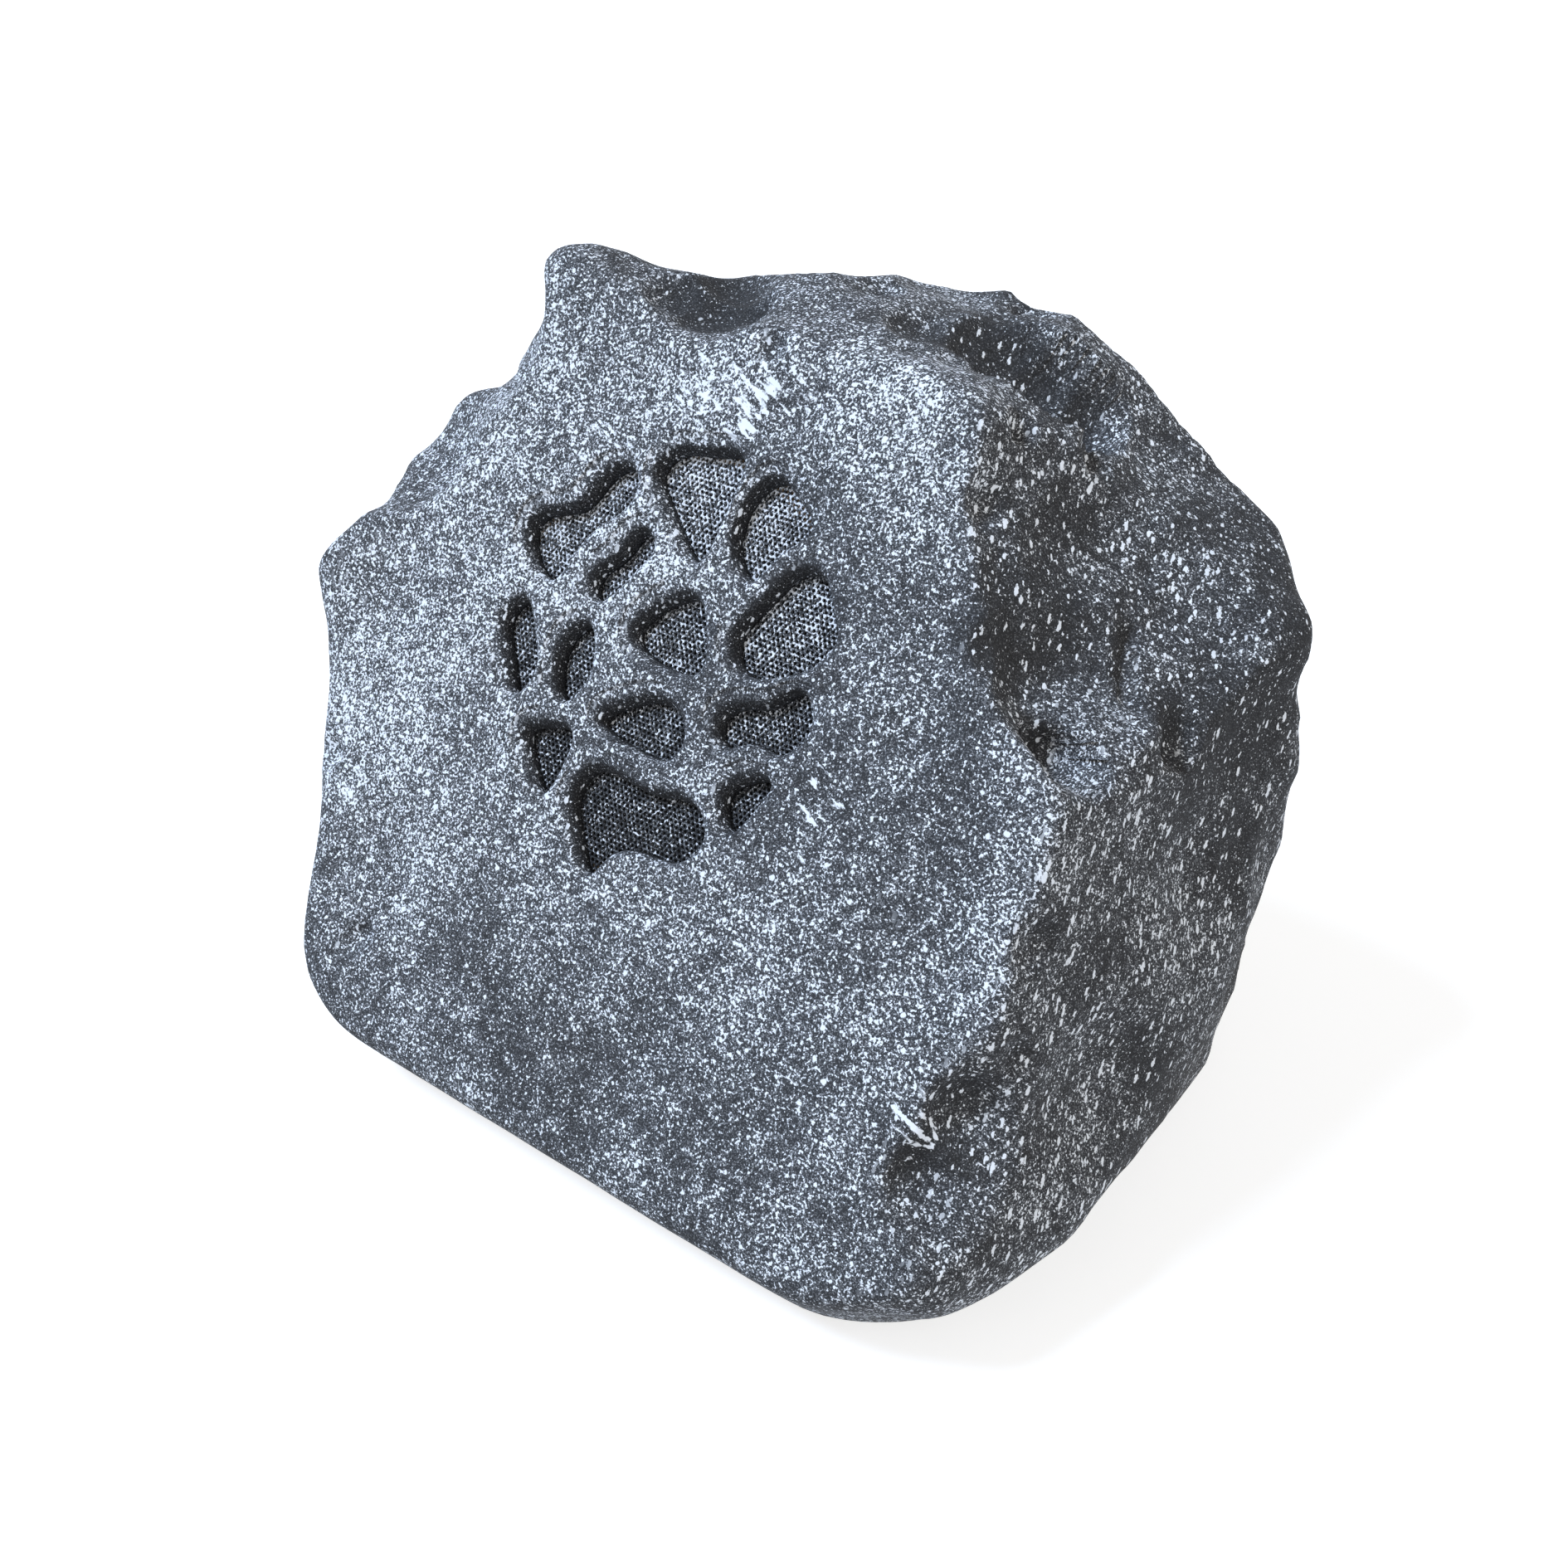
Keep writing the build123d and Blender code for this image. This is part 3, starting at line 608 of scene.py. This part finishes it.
# Painted shade: the flecks thin out in the floor of each chip
for floor_point, radius in chip_floors:
    off_floor = ((stone_points - floor_point) ** 2).sum(axis=1)
    overspray -= chip_shade * np.exp(-off_floor / (chip_share * radius) ** 2)
behind_front = (axis_point - stone_points) @ front_out
from_axis = np.linalg.norm(np.cross(stone_points - axis_point, front_out), axis=1)
lower_right = -lip_lean[0] * right - lip_lean[1] * up_face
# The opening walls lose their flecks and go black: the deep walls partly as bare walls and partly as painted
# shade, and the lips turned to the lower right, away from the key light, as painted shade
turned_away = np.clip(lip_turn_least + lip_turn_gain * stone_normals @ lower_right, 0, 1)
lip_shade = ramp(behind_front, start=0.3 * millimetre, width=1.2 * millimetre) * turned_away
wall_shade = ramp(behind_front, start=3.0 * millimetre, width=2.0 * millimetre)
in_opening = np.maximum(lip_shade, wall_shade) * ((from_axis < seat_inner) & (behind_front < seat_depth))
overspray += spray_web * np.exp(-((from_axis / spray_web_reach) ** 8))
overspray = np.clip(overspray, 0, 1) * (1 - in_opening)
smears = np.clip(bells(stone_points, smear_places), 0, 1) * (1 - in_opening)
runs = ramp(stone_normals @ run_direction, start=0.3, width=0.4)
set_values(stone_mesh, overspray=overspray, smears=smears, runs=runs, bare=in_opening)


def place(tree, kind, inputs, **settings):
    """A node of that kind with its settings, and its inputs linked or set by name or number."""
    node = tree.nodes.new(kind)
    for name, value in settings.items():
        setattr(node, name, value)
    for name, value in inputs.items():
        if isinstance(value, bpy.types.NodeSocket):
            tree.links.new(value, node.inputs[name])
        else:
            node.inputs[name].default_value = value
    return node


def math_of(tree, operation, first, second, clamp=False):
    """The output of a Math node on two values."""
    node = place(tree, "ShaderNodeMath", {0: first, 1: second}, operation=operation, use_clamp=clamp)
    return node.outputs[0]


def blend_of(tree, share, first, second):
    """The output of a colour Mix node."""
    mix = place(tree, "ShaderNodeMix", {0: share, 6: first, 7: second}, data_type="RGBA")
    return mix.outputs[2]


def new_group(name, inputs, outputs):
    """An empty node group with named sockets, its input node and its output node."""
    group = bpy.data.node_groups.new(name, "ShaderNodeTree")
    for socket, kind in inputs.items():
        group.interface.new_socket(socket, in_out="INPUT", socket_type=kind)
    for socket, kind in outputs.items():
        group.interface.new_socket(socket, in_out="OUTPUT", socket_type=kind)
    return group, group.nodes.new("NodeGroupInput").outputs, group.nodes.new("NodeGroupOutput").inputs


def eased(tree, value, low, high):
    """How far a value lies between two bounds, from 0 to 1."""
    lifted = math_of(tree, "SUBTRACT", value, low)
    return math_of(tree, "DIVIDE", lifted, math_of(tree, "SUBTRACT", high, low), clamp=True)


def plus_times(tree, value, factor, offset):
    """A value times a factor, plus an offset."""
    return math_of(tree, "ADD", math_of(tree, "MULTIPLY", value, factor), offset)


def fleck_layer(tree, vector, cell, width, least, soft):
    """Round flecks: the cores of random cells of that size, each as wide as a random share of the layer's
    width, from the least share up."""
    cells = place(tree, "ShaderNodeTexVoronoi", {"Vector": vector, "Scale": 1 / cell})
    chance = place(tree, "ShaderNodeSeparateColor", {0: cells.outputs["Color"]}).outputs[0]
    share = plus_times(tree, chance, factor=1 - least, offset=least)
    core = math_of(tree, "SUBTRACT", math_of(tree, "MULTIPLY", share, width), cells.outputs["Distance"])
    return math_of(tree, "MULTIPLY", core, 1 / soft, clamp=True)


def spray_group():
    """Granite flecks: the thickest of worm-like mist, dust, dots, ragged spots, runs and wet smears. The mist
    lies where a noise passes a bar that drops as the cover grows, and the cover itself is clumped."""
    value = "NodeSocketFloat"
    group, start, end = new_group(
        "granite_spray",
        {"Vector": "NodeSocketVector", "Cover": value, "Smears": value, "Runs": value},
        {"Fleck": value, "Veil": value, "Tone": value, "Grit": value},
    )
    wander_reach = 0.0016
    mist_edge = 0.06
    smear_edge = 0.05
    veil_gain = 1.15

    def noise(vector, size, detail):
        """Layered noise of that size, in metres."""
        inputs = {"Vector": vector, "Scale": 1 / size, "Detail": detail}
        return place(group, "ShaderNodeTexNoise", inputs).outputs

    def stretched(vector, turn, scale):
        """Coordinates that draw a pattern out along turned axes."""
        inputs = {"Vector": vector, "Rotation": turn, "Scale": scale}
        return place(group, "ShaderNodeMapping", inputs, vector_type="TEXTURE").outputs[0]

    vector = start["Vector"]
    wander = noise(vector, size=0.0012, detail=2.0)["Color"]
    shift = place(group, "ShaderNodeVectorMath", {0: wander, 1: (wander_reach,) * 3}, operation="MULTIPLY")
    ragged = place(group, "ShaderNodeVectorMath", {0: vector, 1: shift.outputs[0]}).outputs[0]
    clump = plus_times(group, noise(vector, size=0.0045, detail=3.0)["Fac"], factor=0.9, offset=-0.45)
    reached = eased(group, start["Cover"], low=0.02, high=0.15)
    cover = math_of(group, "MULTIPLY", math_of(group, "ADD", start["Cover"], clump, clamp=True), reached)
    bar = plus_times(group, cover, factor=-0.25, offset=0.655)
    mist_noise = noise(vector, size=0.00095, detail=2.0)["Fac"]
    mist = eased(group, mist_noise, low=bar, high=math_of(group, "ADD", bar, mist_edge))
    dust = eased(group, noise(vector, size=0.0006, detail=1.0)["Fac"], low=0.50, high=0.78)
    dust = math_of(group, "MULTIPLY", dust, plus_times(group, cover, factor=0.8, offset=0.1))
    dot_width = plus_times(group, cover, factor=0.46, offset=0.16)
    dots = fleck_layer(group, ragged, cell=0.0026, width=dot_width, least=0.1, soft=0.08)
    spot_width = plus_times(group, cover, factor=0.30, offset=0.08)
    spots = fleck_layer(group, ragged, cell=0.0060, width=spot_width, least=0.0, soft=0.05)
    run_way = stretched(ragged, turn=(-0.5, 0.0, 0.0), scale=(1.0, 1.0, 2.6))
    run_width = plus_times(group, cover, factor=0.30, offset=0.36)
    run_cells = fleck_layer(group, run_way, cell=0.0021, width=run_width, least=0.0, soft=0.06)
    run = math_of(group, "MULTIPLY", run_cells, start["Runs"])
    smear_way = stretched(ragged, turn=(0.0, 0.45, 0.0), scale=(4.5, 1.0, 1.0))
    smear_bar = plus_times(group, start["Smears"], factor=-0.25, offset=0.77)
    smear_noise = noise(smear_way, size=0.0028, detail=2.0)["Fac"]
    smear = eased(group, smear_noise, low=smear_bar, high=math_of(group, "ADD", smear_bar, smear_edge))
    fleck = mist
    for layer in (dust, dots, spots, run, smear):
        fleck = math_of(group, "MAXIMUM", fleck, layer)
    group.links.new(fleck, end["Fleck"])
    group.links.new(math_of(group, "MULTIPLY", cover, veil_gain, clamp=True), end["Veil"])
    group.links.new(noise(vector, size=0.003, detail=3.0)["Fac"], end["Tone"])
    group.links.new(noise(vector, size=0.0055, detail=5.0)["Fac"], end["Grit"])
    return group


granite_spray = spray_group()


def new_material(name):
    """A node material with its shader, its node tree and the object's own coordinates."""
    material = bpy.data.materials.new(name)
    material.use_nodes = True
    tree = material.node_tree
    coordinates = tree.nodes.new("ShaderNodeTexCoord").outputs["Object"]
    return material, tree, tree.nodes["Principled BSDF"].inputs, coordinates


charcoal_tones = (0.014, 0.014, 0.015, 1), (0.040, 0.040, 0.042, 1)
granite_tones = (0.74, 0.77, 0.82, 1), (0.95, 0.97, 1.0, 1)
# Black of the sheet's paint and of the bare opening walls, which also stands in for the shade on the walls
# and lips
bare_black = (0.012, 0.012, 0.013, 1)
veil_grey = (0.22, 0.24, 0.28, 1)
veil_share = 0.16
paint_sheen = 0.15
fleck_rise = 0.4
grit_rise = 4.0


def speckled_paint(name):
    """Matt charcoal paint under a pale veil and flecks, as thick as the surface's own attributes say, and
    black where an attribute marks black paint, bare walls and painted shade.
    """
    material, tree, shader, vector = new_material(name)
    spray = place(tree, "ShaderNodeGroup", {}, node_tree=granite_spray)
    tree.links.new(vector, spray.inputs["Vector"])
    for socket, attribute in {"Cover": "overspray", "Smears": "smears", "Runs": "runs"}.items():
        amount = place(tree, "ShaderNodeAttribute", {}, attribute_name=attribute).outputs["Fac"]
        tree.links.new(amount, spray.inputs[socket])
    # Black over the sheet, the bare walls and the painted shade of the opening lips
    bare = place(tree, "ShaderNodeAttribute", {}, attribute_name="bare").outputs["Fac"]
    fleck, tone, grit = spray.outputs["Fleck"], spray.outputs["Tone"], spray.outputs["Grit"]
    charcoal = blend_of(tree, tone, *charcoal_tones)
    charcoal = blend_of(tree, bare, charcoal, bare_black)
    veil = math_of(tree, "MULTIPLY", spray.outputs["Veil"], veil_share)
    veiled = blend_of(tree, veil, charcoal, veil_grey)
    granite = blend_of(tree, tone, *granite_tones)
    tree.links.new(blend_of(tree, fleck, veiled, granite), shader["Base Color"])
    tree.links.new(plus_times(tree, fleck, factor=-0.15, offset=0.75), shader["Roughness"])
    shader["Specular IOR Level"].default_value = paint_sheen
    fleck_height = math_of(tree, "MULTIPLY", fleck, fleck_rise)
    height = math_of(tree, "ADD", fleck_height, math_of(tree, "MULTIPLY", grit, grit_rise))
    bump = place(tree, "ShaderNodeBump", {"Strength": 0.7, "Distance": 0.0003, "Height": height})
    tree.links.new(bump.outputs[0], shader["Normal"])
    return material


stone_mesh.materials.append(speckled_paint("speckled_resin_paint"))
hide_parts("rock_shell")
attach(rock_shell, "enclosure")

# Perforated sheet
# A disc of steel sheet punched with rows of small hexagonal holes, set in the seat against the web's back.
# It is painted black before it goes in, and catches the granite spray through the openings, most at the top.
sheet_radius = 0.0817
sheet_thickness = 0.001
sheet_pitch = 0.0020
sheet_hole = 0.0015
sheet_margin = 0.0035
sheet_cover = 0.40
sheet_cover_rise = 0.30
punch_ends = np.array([-1, 2])
row_rise = sheet_pitch * np.sqrt(3) / 2
row_count = int(sheet_radius / row_rise)
row, column = np.mgrid[-row_count:row_count + 1, -row_count:row_count + 1]
hole_right = (sheet_pitch * (column + (row % 2) / 2)).ravel()
hole_up = (row_rise * row).ravel()
kept = np.hypot(hole_right, hole_up) < sheet_radius - sheet_margin
corners = np.radians(np.arange(6) * 60 + 30)
holes = np.stack([
    hole_right[kept][:, None] + sheet_hole / 2 * np.cos(corners),
    hole_up[kept][:, None] + sheet_hole / 2 * np.sin(corners),
], axis=-1)
hole_depths = web_thickness + sheet_thickness * punch_ends
hole_flat = holes[:, None, :, :1] * right + holes[:, None, :, 1:] * up_face
hole_rings = axis_point + hole_flat - front_out * hole_depths[:, None, None]
sheet_disc = round_rings(sheet_radius, web_thickness, web_thickness + sheet_thickness)
grille_sheet = closed_lofts("grille_sheet_steel", sheet_disc)
carve(grille_sheet, ("DIFFERENCE", closed_lofts("sheet_punches", hole_rings)))
sheet_mesh = grille_sheet.data
sheet_rise = (vectors_of(sheet_mesh.vertices, "co") - axis_point) @ up_face / sheet_radius
set_values(sheet_mesh, overspray=sheet_cover + sheet_cover_rise * sheet_rise, bare=np.ones_like(sheet_rise))
sheet_mesh.materials.append(speckled_paint("painted_sheet_steel"))
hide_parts("grille_sheet")
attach(grille_sheet, "enclosure")

# Baffle ring and its screws
# A ring routed from fibreboard, whose spigot clamps the sheet and whose flange carries the driver.
# Eight zinc-plated pan head screws hold it to the seat.
grain_relief = 0.00005
polish_swing = 0.3
fine_ratio = 9.0


def grain_group():
    """Grain of a finish: a slow tone and a fine one, both from layered noise of the given size."""
    group, start, end = new_group(
        "surface_grain",
        {"Vector": "NodeSocketVector", "Size": "NodeSocketFloat"},
        {"Tone": "NodeSocketFloat", "Fine": "NodeSocketFloat"},
    )
    scale = math_of(group, "DIVIDE", 1.0, start["Size"])
    fine_scale = math_of(group, "MULTIPLY", scale, fine_ratio)
    slow = {"Vector": start["Vector"], "Scale": scale, "Detail": 4.0}
    fine = {"Vector": start["Vector"], "Scale": fine_scale, "Detail": 3.0}
    group.links.new(place(group, "ShaderNodeTexNoise", slow).outputs["Fac"], end["Tone"])
    group.links.new(place(group, "ShaderNodeTexNoise", fine).outputs["Fac"], end["Fine"])
    return group


surface_grain = grain_group()


def grained_finish(name, dark, pale, size, roughness, metallic=0.0):
    """A finish between two colours, with roughness and bump that follow its grain."""
    material, tree, shader, vector = new_material(name)
    grain = place(tree, "ShaderNodeGroup", {}, node_tree=surface_grain)
    tree.links.new(vector, grain.inputs["Vector"])
    grain.inputs["Size"].default_value = size
    tone, fine = grain.outputs["Tone"], grain.outputs["Fine"]
    mixed = math_of(tree, "MULTIPLY", math_of(tree, "ADD", tone, fine), 0.5)
    tree.links.new(blend_of(tree, mixed, (*dark, 1), (*pale, 1)), shader["Base Color"])
    polish = plus_times(tree, fine, factor=polish_swing, offset=roughness - polish_swing / 2)
    tree.links.new(polish, shader["Roughness"])
    shader["Metallic"].default_value = metallic
    bump = place(tree, "ShaderNodeBump", {"Distance": grain_relief, "Height": fine})
    tree.links.new(bump.outputs[0], shader["Normal"])
    return material


def dress(material, *names):
    """Give CAD nodes their finish."""
    for name in names:
        for slot in nodes[name].material_slots:
            slot.material = material


fibreboard = grained_finish(
    "fibreboard_routed", dark=(0.16, 0.10, 0.055), pale=(0.34, 0.24, 0.14),
    size=0.004, roughness=0.85,
)
zinc_screw = grained_finish(
    "zinc_screw_plate", dark=(0.42, 0.42, 0.40), pale=(0.70, 0.70, 0.66),
    size=0.002, roughness=0.35, metallic=1.0,
)
dress(fibreboard, "baffle_ring")
dress(zinc_screw, "baffle_screws")

# Driver frame
# A basket pressed from steel sheet and lacquered black, on a ring of closed-cell foam. Eight black screws
# hold it to the baffle ring.
foam_gasket = grained_finish(
    "foam_gasket_cell", dark=(0.012, 0.012, 0.013), pale=(0.05, 0.05, 0.052),
    size=0.0012, roughness=0.95,
)
basket_steel = grained_finish(
    "basket_steel_lacquer", dark=(0.010, 0.010, 0.011), pale=(0.040, 0.040, 0.043),
    size=0.006, roughness=0.42,
)
black_screw = grained_finish(
    "black_screw_oxide", dark=(0.015, 0.015, 0.016), pale=(0.055, 0.055, 0.058),
    size=0.002, roughness=0.45, metallic=0.6,
)
dress(foam_gasket, "driver_gasket")
dress(basket_steel, "driver_basket")
dress(black_screw, "driver_screws")

# Motor
# A front plate and a yoke turned from mild steel and plated, glued either side of a ground ferrite ring.
motor_steel = grained_finish(
    "motor_steel_plate", dark=(0.36, 0.36, 0.37), pale=(0.62, 0.61, 0.58),
    size=0.003, roughness=0.38, metallic=1.0,
)
ferrite = grained_finish(
    "ferrite_ground", dark=(0.022, 0.022, 0.024), pale=(0.075, 0.074, 0.076),
    size=0.0015, roughness=0.62,
)
dress(motor_steel, "top_plate", "pole_yoke")
dress(ferrite, "magnet_ring")

# Moving assembly
# A pulp cone and dust cap on a former of rolled foil, with two layers of enamelled copper wire wound on it.
coil_former = grained_finish(
    "coil_former_foil", dark=(0.55, 0.55, 0.56), pale=(0.80, 0.80, 0.80),
    size=0.002, roughness=0.35, metallic=1.0,
)
copper_wire = grained_finish(
    "copper_wire_enamel", dark=(0.42, 0.15, 0.06), pale=(0.72, 0.32, 0.15),
    size=0.001, roughness=0.30, metallic=1.0,
)
cone_paper = grained_finish(
    "cone_paper_pulp", dark=(0.014, 0.014, 0.015), pale=(0.060, 0.058, 0.056),
    size=0.0025, roughness=0.90,
)
dress(coil_former, "voice_coil_former")
dress(copper_wire, "voice_coil_winding")
dress(cone_paper, "cone", "dust_cap")

# Suspension and terminals
# A rubber half roll moulded round the cone, made as an inner leg and an outer leg; the outer leg and lip stay
# glued to the basket. A corrugated cloth spider sits on its shelf, and a laminate strip carries two tags.
roll_front = 25 * millimetre
roll_middle = 63.5 * millimetre
roll_inside = 5.5 * millimetre
roll_outside = 6.5 * millimetre
lip_edge = 73.7 * millimetre
roll_lip = roll_outside - roll_inside


def revolved(name, profile):
    """A closed ring about the driver's axis from a closed profile of radius and depth, clockwise with the
    radius to the right and the depth up."""
    around = about_axis(full_turn(120))
    points = axis_point + around[:, None] * profile[:, :1] - front_out * profile[:, 1:]
    index = np.arange(points.shape[0] * points.shape[1]).reshape(points.shape[:2])
    ahead = np.roll(index, -1, axis=0)
    faces = np.stack([index, ahead, np.roll(ahead, -1, axis=1), np.roll(index, -1, axis=1)], axis=-1)
    ring = new_piece(name, points.reshape(-1, 3), faces.reshape(-1, 4).tolist())
    ring.data.shade_smooth()
    return ring


def roll_leg(radius, side, end=np.pi / 2):
    """An arc of the roll's section, from its crest down one side to the given angle."""
    turn = np.linspace(0, end, 10)
    return np.stack([roll_middle + side * radius * np.sin(turn), roll_front - radius * np.cos(turn)], axis=1)


inner_leg = np.concatenate([roll_leg(roll_outside, -1), roll_leg(roll_inside, -1)[::-1]])
lip_corners = [(lip_edge, roll_front), (lip_edge, roll_front - roll_lip)]
outer_arc = roll_leg(roll_outside, 1, np.arccos(roll_lip / roll_outside))
outer_leg = np.concatenate([roll_leg(roll_inside, 1), lip_corners, outer_arc[::-1]])
surround_inner = revolved("surround_inner_leg", inner_leg)
surround_outer = revolved("surround_outer_leg", outer_leg)
roll_rubber = grained_finish(
    "roll_rubber_moulded", dark=(0.008, 0.008, 0.009), pale=(0.030, 0.030, 0.031),
    size=0.003, roughness=0.60,
)
spider_cloth = grained_finish(
    "spider_cloth_dipped", dark=(0.30, 0.20, 0.06), pale=(0.55, 0.40, 0.16),
    size=0.0008, roughness=0.90,
)
terminal_strip = grained_finish(
    "terminal_strip_laminate", dark=(0.10, 0.055, 0.025), pale=(0.24, 0.14, 0.07),
    size=0.0015, roughness=0.55,
)
for leg in (surround_inner, surround_outer):
    leg.data.materials.append(roll_rubber)
    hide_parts("surround")
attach(surround_outer, "enclosure")
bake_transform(surround_inner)
dress(spider_cloth, "spider")
dress(terminal_strip, "terminal_board")

# Base
# A black plastic plate on a foam gasket closes the bottom. Ten zinc-plated screws hold it to the flange in
# the shell.
base_plastic = grained_finish(
    "base_plastic_textured", dark=(0.014, 0.014, 0.015), pale=(0.045, 0.045, 0.047),
    size=0.0018, roughness=0.68,
)
dress(base_plastic, "base_plate")
dress(foam_gasket, "base_gasket")
dress(zinc_screw, "base_screws")

# Feet
# Four tapered feet moulded in soft black rubber, each held by a zinc-plated screw sunk in its underside.
foot_rubber = grained_finish(
    "foot_rubber_moulded", dark=(0.010, 0.010, 0.010), pale=(0.040, 0.039, 0.038),
    size=0.003, roughness=0.80,
)
dress(foot_rubber, "foot_front_left", "foot_front_right", "foot_back_left", "foot_back_right")
dress(zinc_screw, "foot_screws")

# Cable gland
# A nylon body through the back with a locknut inside, and a domed cap that squeezes a rubber seal round
# the cable.
gland_nylon = grained_finish(
    "gland_nylon_moulded", dark=(0.014, 0.014, 0.016), pale=(0.050, 0.050, 0.054),
    size=0.004, roughness=0.45,
)
dress(gland_nylon, "gland_body", "gland_locknut", "gland_cap")
dress(foot_rubber, "gland_seal")

# Stage
# A pale floor that stays white to the camera and keeps a soft shadow, a broad cool key light from the upper
# left of the front, a weak warm fill from the right and an even pale surround.
white = (1, 1, 1, 1)
floor_grey = (0.62, 0.62, 0.62, 1)
floor_glow = 0.7
floor_reach = 6.0
surround_strength = 0.34


def seen_directly(tree):
    """1 for what the camera, a mirror or a clear piece sees, and 0 for what only lights the object."""
    path = tree.nodes.new("ShaderNodeLightPath").outputs
    seen = math_of(tree, "MAXIMUM", path["Is Camera Ray"], path["Is Glossy Ray"])
    return math_of(tree, "MAXIMUM", seen, path["Is Transmission Ray"])


def aimed(azimuth, elevation):
    """The turn of a lamp or camera that looks inwards from that direction."""
    return Vector(-facing(azimuth, elevation)).to_track_quat("-Z", "Y").to_euler()


def sun(name, azimuth, elevation, strength, spread, colour):
    """A broad distant lamp that shines from that direction."""
    lamp = bpy.data.lights.new(name, "SUN")
    lamp.energy = strength
    lamp.angle = np.radians(spread)
    lamp.color = colour
    holder = bpy.data.objects.new(name, lamp)
    bpy.context.scene.collection.objects.link(holder)
    holder.rotation_euler = aimed(azimuth, elevation)


floor_corners = floor_reach * np.array([(-1, -1, 0), (1, -1, 0), (1, 1, 0), (-1, 1, 0)])
floor = new_piece("studio_floor", floor_corners, [(0, 1, 2, 3)])
floor_material, tree, shader, _ = new_material("studio_floor_white")
shader["Base Color"].default_value = floor_grey
shader["Roughness"].default_value = 0.9
shader["Specular IOR Level"].default_value = 0.0
shader["Emission Color"].default_value = white
tree.links.new(math_of(tree, "MULTIPLY", seen_directly(tree), floor_glow), shader["Emission Strength"])
floor.data.materials.append(floor_material)

world = bpy.data.worlds.new("studio_surround")
world.use_nodes = True
bpy.context.scene.world = world
tree = world.node_tree
lighting = place(tree, "ShaderNodeBackground", {"Color": white, "Strength": surround_strength}).outputs[0]
backdrop = place(tree, "ShaderNodeBackground", {"Color": white, "Strength": 1.0}).outputs[0]
mixed = place(tree, "ShaderNodeMixShader", {0: seen_directly(tree), 1: lighting, 2: backdrop})
tree.links.new(mixed.outputs[0], tree.nodes["World Output"].inputs["Surface"])

sun("key_light", azimuth=-46, elevation=54, strength=3.35, spread=20, colour=(0.62, 0.77, 1.0))
sun("fill_light", azimuth=72, elevation=25, strength=0.95, spread=60, colour=(1.0, 0.96, 0.90))

# Camera
# It looks down on the front right edge of the stone, as the photograph does.
view_azimuth = 38
view_elevation = 33
view_distance = 0.627
view_aim = heart + np.array([35, -30, 15]) * millimetre
camera_data = bpy.data.cameras.new("camera")
camera_data.lens = 42
camera_data.sensor_width = 36
camera = bpy.data.objects.new("camera", camera_data)
bpy.context.scene.collection.objects.link(camera)
camera.location = view_aim + facing(view_azimuth, view_elevation) * view_distance
camera.rotation_euler = aimed(view_azimuth, view_elevation)
bpy.context.scene.camera = camera
bpy.context.scene.view_settings.view_transform = "Standard"
